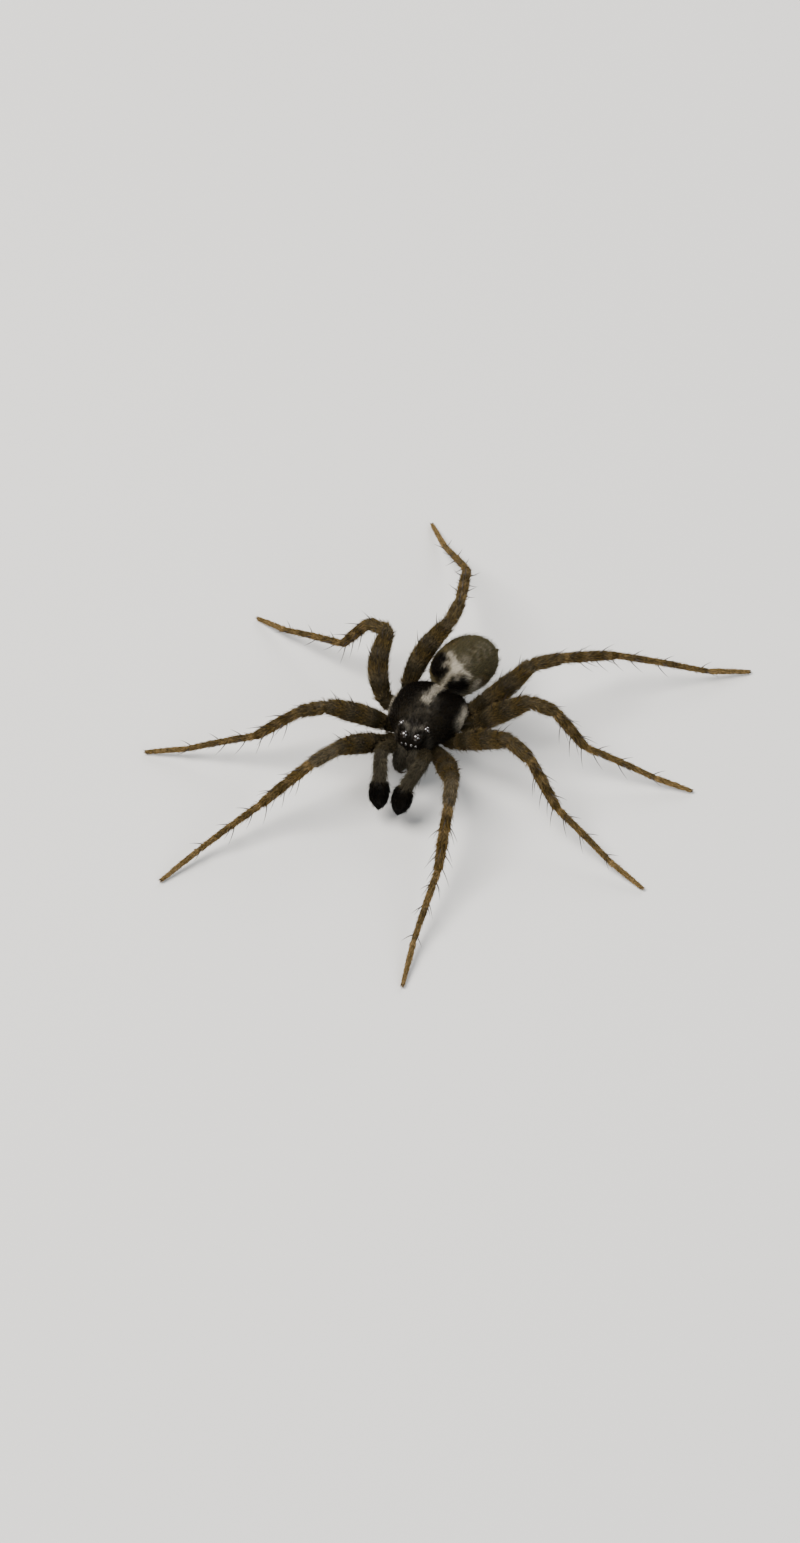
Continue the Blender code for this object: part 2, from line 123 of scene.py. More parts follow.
# Where neighbouring solids meet, how much of a solid's end counts as its tip, and the lowest
# heights of toes, of leg skin and of spines and claws.
MEETING_GAP = 0.085 * MM
TIP_DEPTH = 0.15 * MM
PALP_TIP_DEPTH = 0.08 * MM
TOE_HEIGHT = 0.085 * MM
SKIN_FLOOR = 0.030 * MM
HORN_FLOOR = 0.012 * MM

# Limbs: sides of a ring, spacing of the rings, how far each stretch bows up, the longest
# sideways bow that a femur may take from its solid, the length over which a toe rounds off, and
# how far a palp goes on into the face.
LEG_SIDES = 16
LEG_STEP = 0.055 * MM
LEG_BOWS = mm(0.0, 0.02, 0.03, 0.0)
FEMUR_BOW_LIMIT = 0.5 * MM
TOE_ROUNDING = 0.11 * MM
PALP_SIDES = 20
PALP_STEP = 0.04 * MM
PALP_BOWS = mm(0.04, 0.02, 0.02)
PALP_INWARD = 0.30 * MM
JAW_SIDES = 20
JAW_STEP = 0.03 * MM

# At a joint a limb narrows by a share of its radius, and it swells a little way beside it.
JOINT_PINCH = 0.17
PINCH_WIDTH = 0.05 * MM
JOINT_SWELL = 0.07
SWELL_AWAY = 0.15 * MM
SWELL_WIDTH = 0.06 * MM

# Radii under the coat: start, middle and end of each stretch of a limb.
COXA_RADII = mm(0.215, 0.235, 0.200)
LEG_RADII = {
    "femur": mm(0.200, 0.290, 0.180),
    "patella": mm(0.160, 0.185, 0.150),
    "tibia": mm(0.128, 0.142, 0.105),
    "metatarsus": mm(0.090, 0.086, 0.072),
    "tarsus": mm(0.074, 0.072, 0.048),
}
PALP_RADII = {
    "femur": mm(0.120, 0.165, 0.150),
    "tibia": mm(0.140, 0.170, 0.165),
    "tarsus": mm(0.170, 0.300, 0.080),
}
# A jaw's middle line: its distance from the solid's inner side, then back and up from the
# solid's front foot.
JAW_IN = 0.225 * MM
JAW_LINE = mm((0.66, 1.14), (0.34, 0.80), (0.26, 0.44), (0.28, 0.14))
# The bulb of a palp: how far along the last joint it sits, its size, and how far off the line.
BULB_ALONG = 0.46
BULB_SIZE = mm(0.34, 0.30, 0.44)
BULB_OFFSET = mm(0.0, 0.13, -0.05)
# Eyes: the places that their mounds and looks point away from, then lenses and rims.
EYE_NAMES = ("median_small", "side_small", "front_large", "rear_large")
EYE_MOUND_BASE = mm(0.0, -0.90, 1.60)
EYE_LOOK_BASE = mm(0.0, -0.95, 1.55)
LENS_GRID = (20, 28)
LENS_SHARE = 0.97
LENS_DEPTH = 0.92
RIM_GRID = (28, 8)
# A fang's root in its jaw, its sides and radii, and its line from the root: inward, forward and down.
FANG_ROOT = mm(0.27, 0.25, 0.16)
FANG_SIDES = 12
FANG_RADII = mm(0.062, 0.012)
FANG_LINE = mm(
    (0.0, 0.0, -0.02), (0.0, 0.03, 0.05), (0.05, 0.05, 0.09),
    (0.12, 0.04, 0.11), (0.19, 0.0, 0.11), (0.24, -0.05, 0.09),
)

# Coat: the seed, then a hair's closed shape (three corners at the foot, three half way and the
# tip), where its corners lie on its patch of the map, the patch's size, and the map's columns
# and gaps.
SEED = 41
HAIR_FACES = (
    (0, 2, 1), (0, 1, 4), (0, 4, 3), (1, 2, 5), (1, 5, 4), (2, 0, 3), (2, 3, 5),
    (3, 4, 6), (4, 5, 6), (5, 3, 6),
)
HAIR_MAP = ((0.0, 0.0), (0.5, 0.2), (1.0, 0.0), (0.0, 0.5), (0.5, 0.6), (1.0, 0.5), (0.5, 1.0))
HAIR_CORNERS = len(HAIR_MAP)
HAIR_PATCH = 0.003
MAP_COLUMNS = 4
MAP_GAP = 0.004
# A layer is hairs per square mm, length and width in mm, and degrees of lift and of spread.
BODY_LAYERS = ((1150.0, 0.17, 0.017, 18.0, 16.0), (120.0, 0.26, 0.015, 42.0, 14.0))
FRONT_LAYERS = ((1100.0, 0.13, 0.015, 16.0, 16.0), (90.0, 0.20, 0.013, 45.0, 16.0))
LEG_LAYERS = ((820.0, 0.18, 0.016, 22.0, 12.0), (190.0, 0.24, 0.014, 42.0, 12.0))
SPINNERET_NAMES = tuple(
    f"spinneret_{number}_{side}" for side, _ in SIDES for number in range(len(SPINNERETS))
)
MOUTH_NAMES = ("mouth_lobe_left", "mouth_lobe_right", "mouth_lip")
# A coat piece is its name, its slot, the forms that it covers and the layers that they wear.
COAT = [
    ("coat_carapace", "dark_coat", ("carapace",), FRONT_LAYERS),
    ("coat_abdomen", "grey_coat", ("abdomen", "tail_base", "tail_lobe"), BODY_LAYERS),
    ("coat_spinnerets", "grey_coat", SPINNERET_NAMES, FRONT_LAYERS[:1]),
    ("coat_under", "dark_coat", ("sternum",) + MOUTH_NAMES, LEG_LAYERS[:1]),
    ("coat_jaws", "dark_coat", ("jaw_left", "jaw_right"), LEG_LAYERS),
    ("coat_palps", "black_coat", ("palp_left", "palp_right"), LEG_LAYERS),
] + [
    (f"coat_leg_{pair}_{side}", "brown_leg", (f"leg_{pair}_{side}",), LEG_LAYERS)
    for pair in PAIRS for side, _ in SIDES
]
# A group of spines: its stretch of the leg, shares along, degrees round the leg, length in mm.
SPINES = (
    (1, (0.40, 0.62, 0.84), (90.0,), 0.52),
    (1, (0.58, 0.86), (35.0, 145.0), 0.46),
    (2, (0.80,), (90.0,), 0.45),
    (3, (0.22, 0.70), (90.0,), 0.55),
    (3, (0.30, 0.62, 0.92), (235.0, 305.0), 0.62),
    (3, (0.36, 0.76), (0.0, 180.0), 0.52),
    (4, (0.14, 0.46), (235.0, 305.0), 0.55),
    (4, (0.18, 0.52, 0.95), (15.0, 165.0), 0.42),
)
SPINE_RADIUS = 0.021 * MM
CLAW_LENGTH = 0.15 * MM
CLAW_RADIUS = 0.017 * MM
HORN_SIDES = 6
HORN_RINGS = 7

# Tones from black at 0 to straw at 1 for coxa, femur, patella, tibia, metatarsus and tarsus,
# then for the lighter first legs; and the tones, pale hair and hair lengths of a palp.
LEG_TONES = (0.18, 0.32, 0.35, 0.40, 0.46, 0.62)
FIRST_LEG_TONES = (0.18, 0.32, 0.35, 0.48, 0.52, 0.62)
PALP_TONES = np.array([0.20, 0.13, 0.01])
PALP_PALE = np.array([0.02, 0.045, 0.0])
PALP_HAIR_LENGTHS = np.array([1.0, 1.15, 0.95])

# Coat colours, linear: from black through brown to straw, the two kinds of paler hair, and the
# skin that shows between the hairs.
COAT_RAMP = (
    (0.0, (0.0018, 0.0013, 0.0010)),
    (0.25, (0.031, 0.020, 0.0065)),
    (0.5, (0.125, 0.080, 0.022)),
    (0.75, (0.230, 0.145, 0.052)),
    (1.0, (0.380, 0.245, 0.095)),
)
OLIVE_HAIR = (0.062, 0.057, 0.032)
# PALE_HAIR also colours the painted highlight on the abdomen's left front flank.
PALE_HAIR = (0.60, 0.54, 0.43)
BARE_SKIN = (0.008, 0.006, 0.003)
# Darker and lighter colours of the lenses and of the floor.
LENS_COLOURS = ((0.004, 0.003, 0.003), (0.020, 0.013, 0.008))
FLOOR_COLOURS = ((0.60, 0.59, 0.57), (0.63, 0.62, 0.60))
# A horn finish is its name, its darker and its lighter colour, its roughness and its shine.
DARK_HORN = ("dark_horn", (0.006, 0.004, 0.003), (0.030, 0.018, 0.010), 0.35, 0.35)
RIM_HORN = ("eye_rim", (0.002, 0.0015, 0.001), (0.006, 0.004, 0.003), 0.65, 0.15)
FANG_HORN = ("fang_horn", (0.020, 0.006, 0.003), (0.070, 0.022, 0.010), 0.15, 0.5)

# Lamps: name, place, width, power and colour; then the strength of the even surround.
LAMPS = (
    ("key", (-0.10, -0.04, 0.20), 0.16, 1.2, (1.0, 0.97, 0.93)),
    ("fill", (0.16, -0.10, 0.12), 0.14, 0.35, (0.92, 0.96, 1.0)),
    ("rear", (0.02, 0.18, 0.10), 0.12, 0.30, (1.0, 1.0, 1.0)),
)
LAMP_AIM = (0.0, 0.0, 1.5 * MM)
SURROUND = 0.28
SURROUND_COLOUR = (0.93, 0.96, 1.0, 1.0)
FLOOR_HALF = 0.6
FLOOR_DEPTH = 0.002

# Camera: lens and film in its own mm, bearing, height, framed height, and how far the aim lies
# above the floor and aside from the carapace.
LENS_LENGTH = 100.0
FILM_WIDTH = 36.0
VIEW_AZIMUTH = 20.0
VIEW_ELEVATION = 50.0
VIEW_TALL = 50.7 * MM
VIEW_AIM = 1.7 * MM
VIEW_ACROSS = -0.79 * MM
VIEW_UP = -1.89 * MM


# ---------------------------------------------------------------- shader words


class Socket:
    """A shader socket that takes part in Python arithmetic through Math nodes."""

    def __init__(self, shader, link):
        self.shader = shader
        self.link = link

    def _math(self, operation, first, second=None):
        values = [first] if second is None else [first, second]
        return self.shader.node("ShaderNodeMath", {"operation": operation}, dict(enumerate(values)))

    def __add__(self, other):
        return self._math("ADD", self, other)

    def __radd__(self, other):
        return self._math("ADD", other, self)

    def __sub__(self, other):
        return self._math("SUBTRACT", self, other)

    def __rsub__(self, other):
        return self._math("SUBTRACT", other, self)

    def __mul__(self, other):
        return self._math("MULTIPLY", self, other)

    def __rmul__(self, other):
        return self._math("MULTIPLY", other, self)

    def clamp(self, low=0.0, high=1.0):
        return self._math("MINIMUM", self._math("MAXIMUM", self, low), high)


class Shader:
    """Builds one material, a Principled shader fed by other nodes."""

    def __init__(self, name):
        self.material = bpy.data.materials.new(name)
        self.material.use_nodes = True
        self.tree = self.material.node_tree
        self.surface = self.tree.nodes["Principled BSDF"]

    def node(self, kind, settings=None, inputs=None, output=0):
        """Add a node: its settings first, then the values or links of its sockets."""
        made = self.tree.nodes.new(kind)
        for name, value in (settings or {}).items():
            if name == "stops":
                self.set_stops(made.color_ramp, value)
            else:
                setattr(made, name, value)
        for name, value in (inputs or {}).items():
            self.feed(made.inputs[name], value)
        return Socket(self, made.outputs[output])

    def feed(self, socket, value):
        if isinstance(value, Socket):
            self.tree.links.new(value.link, socket)
        else:
            socket.default_value = value

    def set_stops(self, ramp, stops):
        while len(ramp.elements) < len(stops):
            ramp.elements.new(0.5)
        for element, (place, colour) in zip(ramp.elements, stops):
            element.position = place
            element.color = (*colour, 1.0)

    def mix(self, factor, first, second):
        """Blend two colours."""
        inputs = {0: factor, 6: self.colour(first), 7: self.colour(second)}
        return self.node("ShaderNodeMix", {"data_type": "RGBA"}, inputs, output=2)

    @staticmethod
    def colour(value):
        return value if isinstance(value, Socket) else (*value, 1.0)

    def noise(self, per_mm, detail):
        place = self.node("ShaderNodeTexCoord", output=3)
        inputs = {"Vector": place, "Scale": per_mm / MM, "Detail": detail}
        return self.node("ShaderNodeTexNoise", None, inputs)

    def bump(self, height, depth, strength):
        inputs = {"Strength": strength, "Distance": depth, "Height": height}
        return self.node("ShaderNodeBump", None, inputs)

    def set(self, **values):
        """Set sockets of the surface; underscores stand for blanks."""
        for name, value in values.items():
            self.feed(self.surface.inputs[name.replace("_", " ")], value)
        return self.material


# ------------------------------------------------------------- places from the frame


def corners(node):
    low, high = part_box(node)
    return np.array(low), np.array(high)


def node_points(node):
    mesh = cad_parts[node].data
    flat = np.empty(3 * len(mesh.vertices))
    mesh.vertices.foreach_get("co", flat)
    return np.unique(flat.reshape(-1, 3).round(8), axis=0)


def meeting_place(node, neighbour):
    """The centre of the cut faces where two neighbouring solids meet."""
    mine, other = node_points(node), node_points(neighbour)
    gaps = np.linalg.norm(mine[:, None] - other[None], axis=2)
    my_side = mine[gaps.min(axis=1) < MEETING_GAP]
    far_side = other[gaps.min(axis=0) < MEETING_GAP]
    return 0.5 * (my_side.mean(axis=0) + far_side.mean(axis=0))


def far_end(node, place, depth=TIP_DEPTH):
    """The centre of the end of a solid that lies furthest from a place."""
    points = node_points(node)
    away = np.linalg.norm(points - place, axis=1)
    return points[away > away.max() - depth].mean(axis=0)


def body_middle():
    """The floor below the middle of the front body."""
    low, high = corners("prosoma")
    return 0.5 * (low + high) * [1.0, 1.0, 0.0]


def underside():
    """The lowest level of the front body, below its middle."""
    return body_middle() + corners("prosoma")[0] * [0.0, 0.0, 1.0]


def jaw_foot(side, mirror):
    """The inner, front and lowest edges of a jaw's solid."""
    low, high = corners(f"chelicera_{side}")
    return np.array([low[0] if mirror > 0 else high[0], low[1], low[2]])


def unit(vector):
    vector = np.asarray(vector, dtype=float)
    return vector / np.maximum(np.linalg.norm(vector, axis=-1, keepdims=True), 1e-12)


def smooth_step(low, high, value):
    t = np.clip((value - low) / (high - low), 0.0, 1.0)
    return t * t * (3.0 - 2.0 * t)


def bell(value, middle, width):
    return np.exp(-(((value - middle) / width) ** 2))


def window(value, opens, closes):
    """1 between two ranges, over which it rises and falls."""
    return smooth_step(*opens, value) * (1.0 - smooth_step(*closes, value))


def turns(count):
    """Angles of evenly spaced places round a circle."""
    return 2.0 * math.pi * np.arange(count) / count


def cross_axes(way):
    """The sideways and the upward direction square to a way."""
    across = unit(np.cross(way, UP))
    return across, np.cross(across, way)


# ------------------------------------------------------------- forms


class Form:
    """A closed surface on a grid of rings, with its markings and the hairs it carries.

    points is (rings, sides, 3) and runs the way the hairs lie.  A marking is one number, one a
    ring or a full grid: tone from black to straw, pale for light hair (on the abdomen also a painted
    highlight), grey for olive grey.
    """

    def __init__(self, name, points, tone=0.0, pale=0.0, grey=0.0, density=1.0, length=1.0):
        self.name = name
        self.points = points
        marks = [self.on_grid(mark) for mark in (tone, pale, grey)]
        self.marks = np.stack(marks, axis=-1).clip(0.0, 1.0)
        self.density = self.on_grid(density)
        self.length = self.on_grid(length)

    def on_grid(self, value):
        value = np.asarray(value)
        return np.broadcast_to(value[:, None] if value.ndim == 1 else value, self.points.shape[:2])

    @staticmethod
    def capped(grid):
        """The values of a grid in one list, then the means of its first and last rings."""
        return np.concatenate([grid.reshape(-1, 3), [grid[0].mean(axis=0), grid[-1].mean(axis=0)]])

    def mesh_data(self):
        rings, sides = self.points.shape[:2]
        ring = np.arange(sides)
        after = (ring + 1) % sides
        first, last, top = rings * sides, rings * sides + 1, (rings - 1) * sides
        faces = []
        for base in range(0, top, sides):
            above = base + sides
            faces += list(zip(base + ring, base + after, above + after, above + ring))
        faces += [(first, b, a) for a, b in zip(ring, after)]
        faces += [(last, top + a, top + b) for a, b in zip(ring, after)]
        return self.capped(self.points), faces

    def mesh(self):
        return closed_mesh(self.name, *self.mesh_data())

    def roots(self, count, rng):
        """Random places on the surface: position, normal, lie, marks, length share and map place."""
        here, ahead = self.points[:-1], self.points[1:]
        beside = np.roll(here, -1, axis=1)
        ahead_beside = np.roll(ahead, -1, axis=1)
        normal = np.cross(ahead - here, beside - here)
        area = np.linalg.norm(normal, axis=-1)
        outward = 0.5 * (here + ahead) - 0.5 * (here + ahead).mean(axis=1, keepdims=True)
        normal = unit(normal) * np.sign((normal * outward).sum(axis=-1, keepdims=True))
        along = unit(ahead - here + ahead_beside - beside)
        weight = (area * self.density[:-1]).ravel()
        cell = rng.choice(len(weight), size=count, p=weight / weight.sum())
        s, t = rng.random((2, count, 1))

        def pick(grid):
            return grid.reshape(-1, grid.shape[-1])[cell]

        low = pick(here) * (1 - t) + pick(beside) * t
        high = pick(ahead) * (1 - t) + pick(ahead_beside) * t
        rings, sides = area.shape
        across = (cell % sides + t[:, 0]) / sides
        return {
            "place": low * (1 - s) + high * s,
            "normal": pick(normal),
            "along": pick(along),
            "marks": self.marks[:-1].reshape(-1, 3)[cell],
            "length": self.length[:-1].ravel()[cell],
            "map": np.stack([across, (cell // sides + s[:, 0]) / rings], axis=1),
            "area": area.sum(),
        }


def closed_mesh(name, verts, faces):
    """A mesh from vertices and faces, with all faces turned outward."""
    mesh = bpy.data.meshes.new(name)
    mesh.from_pydata(np.asarray(verts).tolist(), [], [tuple(int(i) for i in f) for f in faces])
    work = bmesh.new()
    work.from_mesh(mesh)
    bmesh.ops.recalc_face_normals(work, faces=work.faces)
    work.to_mesh(mesh)
    work.free()
    return mesh


def placed(name, data, collection=None):
    """A new object with the given data, in the scene or in a collection of helpers."""
    made = bpy.data.objects.new(name, data)
    (collection or bpy.context.scene.collection).objects.link(made)
    return made


def add_piece(name, mesh, material):
    """Put a smooth piece on the spider's one body."""
    mesh.shade_smooth()
    mesh.materials.clear()
    mesh.materials.append(material)
    piece = placed(name, mesh)
    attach(piece, "root")
    return piece


def set_marks(mesh, marks):
    """Store tone, pale, grey and a fourth number for each vertex."""
    layer = mesh.attributes.new("marks", "FLOAT_COLOR", "POINT")
    full = np.zeros((len(mesh.vertices), 4), dtype=np.float32)
    full[:, : marks.shape[1]] = marks
    layer.data.foreach_set("color", full.ravel())


# ------------------------------------------------------------- body forms


def angle_grid(rings, sides):
    """Unit ball as rings along Y: the along-share and the sideways and upward parts."""
    polar = math.pi * (np.arange(rings) + 0.5) / rings
    turn = turns(sides)
    y = np.repeat(-np.cos(polar)[:, None], sides, axis=1)
    side = np.repeat(np.cos(turn)[None], rings, axis=0)
    up = np.repeat(np.sin(turn)[None], rings, axis=0)
    return y, side, up


def eye_sites():
    """Centre and radius of each eye, from its solid."""
    sites = {}
    for name in EYE_NAMES:
        for side, _ in SIDES:
            low, high = corners(f"eye_{name}_{side}")
            sites[f"{name}_{side}"] = (0.5 * (low + high), 0.5 * (high - low).max())
    return sites


def carapace_shape():
    """The bare shield and its grid: shares sideways and along, and the part that looks up."""
    y, side, up = angle_grid(*CARAPACE_GRID)
    thorax = smooth_step(*HEAD_WIDENS, y)
    blunt = (1.0 - np.abs(y) ** CARAPACE_POWER) ** (1.0 / CARAPACE_POWER)
    half_width = 0.5 * (HEAD_WIDTH + (THORAX_WIDTH - HEAD_WIDTH) * thorax)
    rear_slope = 1.0 - REAR_SLOPE * smooth_step(0.15, 1.0, y)
    above = up > 0.0
    lift = np.abs(up) ** np.where(above, 0.80 + 0.25 * thorax, 1.0)
    rise = np.where(above, CARAPACE_RISE * rear_slope, -CARAPACE_LIP) * lift
    x = np.sign(side) * np.abs(side) ** (0.78 + 0.22 * thorax) * half_width * blunt
    points = np.stack([x, y * 0.5 * CARAPACE_LENGTH, MARGIN_HEIGHT + rise * blunt], axis=-1)
    wide = x / (0.5 * THORAX_WIDTH)
    points[..., 2] -= carapace_furrows(wide, y) * (up > 0.2)
    return points + body_middle(), (wide, y, up)


def carapace_form():
    points, (wide, y, up) = carapace_shape()
    sites = eye_sites()
    for centre, radius in sites.values():
        away = np.linalg.norm(points - centre, axis=-1)
        outward = unit(points - (body_middle() + EYE_MOUND_BASE))
        points += outward * (0.35 * radius * bell(away, 1.15 * radius, 0.55 * radius))[..., None]
    near_eye = sum(
        bell(np.linalg.norm(points - centre, axis=-1), 0.0, 1.5 * radius)
        for centre, radius in sites.values()
    ).clip(0.0, 1.0)
    pale, grey, dark = carapace_marks(wide, y, up)
    pale = np.maximum(pale, 0.22 * face_streaks(points, sites))
    tone = 0.01 + 0.05 * smooth_step(0.80, 1.0, np.abs(wide)) + 0.20 * grey - 0.2 * dark
    density = 1.0 - 0.75 * near_eye
    length = 0.75 + 0.35 * smooth_step(-0.5, 0.4, y) + 0.5 * bell(y, -0.85, 0.12)
    return Form("carapace", points, tone, pale * (1.0 - near_eye), 0.3 * grey, density, length)


def carapace_furrows(wide, y):
    """Depth of the middle pit and of the grooves that run out from it to the legs."""
    pit = PIT_DEPTH * bell(wide, 0.0, 0.035) * bell(y, PIT_ALONG, 0.14)
    bearing = np.arctan2(np.abs(wide), -(y - GROOVE_MEET))
    reach = np.hypot(wide, y - GROOVE_MEET)
    grooves = sum(bell(bearing, place, 0.10) for place in GROOVE_BEARINGS)
    return pit + GROOVE_DEPTH * grooves * window(reach, (0.10, 0.30), (0.75, 1.0))


def carapace_marks(wide, y, up):
    """Shares of pale hair, of dim grey hair, and of the dark line of the pit.

    A pale band runs to the rear edge, with a dim haze ahead of it on the head.  A light fringe
    and a spotted line follow the side edges, and the cheeks are a little lighter.
    """
    out = np.abs(wide)
    off = np.abs(wide - (0.06 + 0.09 * smooth_step(0.1, 0.6, y)))
    waver = 0.020 * np.sin(11.0 * y) + 0.012 * np.sin(27.0 * y + 1.0)
    half = 0.125 + 0.04 * bell(y, 0.60, 0.20) + waver
    patches = 0.80 + 0.20 * np.sin(19.0 * y + 1.5)
    band = patches * (1.0 - smooth_step(half * 0.75, half * 1.25, off)) * smooth_step(-0.16, 0.10, y)
    patchy = 0.55 + 0.45 * np.sin(13.0 * y + 9.0 * wide) * np.sin(17.0 * wide - 5.0 * y)
    haze = patchy * (1.0 - smooth_step(0.22, 0.42, off)) * window(y, (-0.70, -0.35), (0.05, 0.32))
    beside = bell(y, -0.35, 0.22) * bell(off, 0.45, 0.16)
    fringe = bell(out, 0.975, 0.06) * window(y, (-0.25, 0.25), (0.60, 0.80))
    spots = 0.5 + 0.5 * np.sin(14.0 * y + 2.0 * np.sign(wide))
    edge = spots * bell(out, 0.93, 0.07) * smooth_step(-0.55, -0.2, y)
    cheek = bell(y, -0.80, 0.16) * bell(out, 0.44, 0.10)
    pit = bell(wide, 0.0, 0.03) * bell(y, PIT_ALONG, 0.13)
    pale = 0.62 * band + 0.042 * haze + 0.70 * fringe + 0.098 * edge + 0.0572 * cheek
    grey = 0.27 * haze + 0.104 * cheek + 0.2 * beside
    return pale.clip(0.0, 1.0) * (up > -0.1) * (1.0 - 0.6 * pit), grey.clip(0.0, 1.0), pit


def face_streaks(points, sites):
    """Two light streaks that run from the hind eyes and meet between the large front eyes."""
    streaks = 0.0
    for side, mirror in SIDES:
        rear, front = sites[f"rear_large_{side}"][0], sites[f"front_large_{side}"][0]
        start = rear + mm(-mirror * 0.10, -0.06, 0.0)
        end = front + mm(-mirror * 0.13, 0.10, 0.0)
        run = (end - start)[:2]
        share = ((points[..., :2] - start[:2]) @ run / (run @ run)).clip(0.0, 1.0)
        nearest = start[:2] + share[..., None] * run
        away = np.linalg.norm(points[..., :2] - nearest, axis=-1)
        streaks = np.maximum(streaks, bell(away, 0.0, 0.06 * MM + 0.03 * MM * share))
    return streaks


def ellipsoid_form(name, centre, size, rings=18, sides=24, **marks):
    y, side, up = angle_grid(rings, sides)
    around = np.sqrt(1.0 - y * y)
    points = 0.5 * np.stack([around * side, y, around * up], axis=-1) * np.array(size) + centre
    return Form(name, points, **marks)


def turned(points):
    """Turn points of the abdomen, or directions on it, from its own axis to the spider's."""
    cos_turn, sin_turn = math.cos(ABDOMEN_TURN), math.sin(ABDOMEN_TURN)
    cos_pitch, sin_pitch = math.cos(ABDOMEN_PITCH), math.sin(ABDOMEN_PITCH)
    about_x = np.array([[1, 0, 0], [0, cos_pitch, -sin_pitch], [0, sin_pitch, cos_pitch]])
    about_z = np.array([[cos_turn, -sin_turn, 0], [sin_turn, cos_turn, 0], [0, 0, 1]])
    return points @ (about_z @ about_x).T


def abdomen_shape():
    """The abdomen about its own middle, its unit grid, and where its middle lies in the solid."""
    y, side, up = angle_grid(*ABDOMEN_GRID)
    power = np.where(y < 0.0, ABDOMEN_FRONT_POWER, 2.0)
    around = (1.0 - np.abs(y) ** power) ** (1.0 / power)
    across, rise = around * side, around * up
    swell = 1.0 + ABDOMEN_SWELL * y - ABDOMEN_SWELL * y * y
    slope = 1.0 - ABDOMEN_SLOPE * y
    local = 0.5 * np.stack([across * swell, y, rise * slope], axis=-1) * ABDOMEN_SIZE
    reached = turned(local).reshape(-1, 3)
    least, most = reached.min(axis=0), reached.max(axis=0)
    low, high = corners("abdomen")
    centre = 0.5 * (low + high) - 0.5 * (least + most)
    centre[1] = high[1] - ABDOMEN_COAT - most[1]
    return local, (across, y, rise), centre


def abdomen_centre():
    return abdomen_shape()[-1]


def abdomen_form():
    local, (across, y, up), centre = abdomen_shape()
    creases = np.sin(30.0 * y) * smooth_step(0.1, 0.8, y)
    dimples = sum(bell(y, place, 0.05) for place in DIMPLES_ALONG) * bell(np.abs(across), 0.30, 0.05)
    local[..., 2] -= (DIMPLE_DEPTH * dimples + CREASE_DEPTH * creases) * (up > 0.0)
    turn = np.arctan2(across, up) + ABDOMEN_ROLL
    around = np.hypot(across, up)
    # pale holds the pale hair and the painted highlight on the left front flank.
    pale, black, brown = abdomen_marks(np.sin(turn) * around, y, np.cos(turn) * around)
    below = smooth_step(0.1, -0.6, up)
    tone = 0.40 - 0.42 * black + 0.06 * below
    grey = (0.90 - 0.40 * black - 0.45 * brown).clip(0.0, 1.0)
    length = 0.85 + 0.25 * smooth_step(0.2, 0.9, y)
    points = turned(local) + centre
    return Form("abdomen", points, tone, pale + 0.10 * below, grey * (1.0 - black), 1.0, length)


def abdomen_marks(across, y, top):
    """Shares of pale, black and brown hair over the abdomen's back.

    A pale star sits on the front slope and a stem joins it to the band of the carapace.  Two
    arms run back from it and two short horns forward, a broad dim patch lies behind it, black
    shoulders lie beside it and faint bows follow towards the tail.  A pale patch on the left
    front flank only is a painted highlight, where light falls on that side.
    """
    wide = np.abs(across)
    above = smooth_step(-0.25, 0.20, top)
    reach = np.hypot(across - 0.04, 1.3 * (y + 0.72))
    core = bell(reach, 0.0, 0.15)
    stem = bell(across, 0.10, 0.085) * (1.0 - smooth_step(-0.84, -0.74, y))
    arms = line_mark(wide, y, (0.0, -0.72), (0.60, -0.55), 0.075)
    horns = line_mark(wide, y, (0.05, -0.74), (0.38, -0.84), 0.050)
    patch = bell(across, 0.0, 0.27) * bell(y, -0.38, 0.15)
    # Painted highlight: pale on the left front flank only, standing for light that falls on that side.
    lit_flank = bell(across, 0.88, 0.10) * bell(y, -0.38, 0.14)
    bows = sum(line_mark(wide, y, (0.0, tip), (0.33, tip - 0.18), 0.045) for tip in (0.06, 0.34, 0.58))
    pale = core + 0.62 * stem + 0.85 * arms + 0.60 * horns
    # From here pale holds the pale hair and also the painted highlight on the left front flank.
    pale = above * (pale + 0.17 * patch + 0.13 * bows + 0.50 * lit_flank)
    shoulders = bell(wide, 0.64, 0.30) * (1.0 - smooth_step(-0.68, -0.54, y - 0.06 * wide))
    front = (1.0 - smooth_step(-0.90, -0.80, y)) * smooth_step(0.08, 0.20, np.abs(across - 0.12))
    lines = line_mark(wide, y, (0.08, -0.16), (0.36, 0.16), 0.050)
    black = 1.2 * shoulders + front + 0.42 * lines
    brown = bell(wide, 0.88, 0.16) * bell(y, -0.21, 0.27)
    pale = pale.clip(0.0, 1.0)
    return pale, (black * above).clip(0.0, 1.0) * (1.0 - pale), brown


def line_mark(across, along, start, end, width):
    """Strength of a mark that follows the straight line between two places."""
    run = np.subtract(end, start)
    x, y = across - start[0], along - start[1]
    share = ((x * run[0] + y * run[1]) / (run @ run)).clip(0.0, 1.0)
    away = np.hypot(x - share * run[0], y - share * run[1])
    return bell(away, 0.0, width) * (1.0 - 0.35 * share)


# ------------------------------------------------------------- legs


def swept(line, radii, sides, reference=(0.0, 0.0, 1.0), squash=1.0):
    """Rings round a line; angle 0 points to one side and a quarter turn is the back."""
    ahead = unit(np.gradient(line, axis=0))
    across = unit(np.cross(ahead, reference))
    up = np.cross(across, ahead)
    cos, sin = np.cos(turns(sides))[:, None], np.sin(turns(sides))[:, None]
    ring = across[:, None] * cos + up[:, None] * sin * squash
    return line[:, None] + ring * radii[:, None, None]


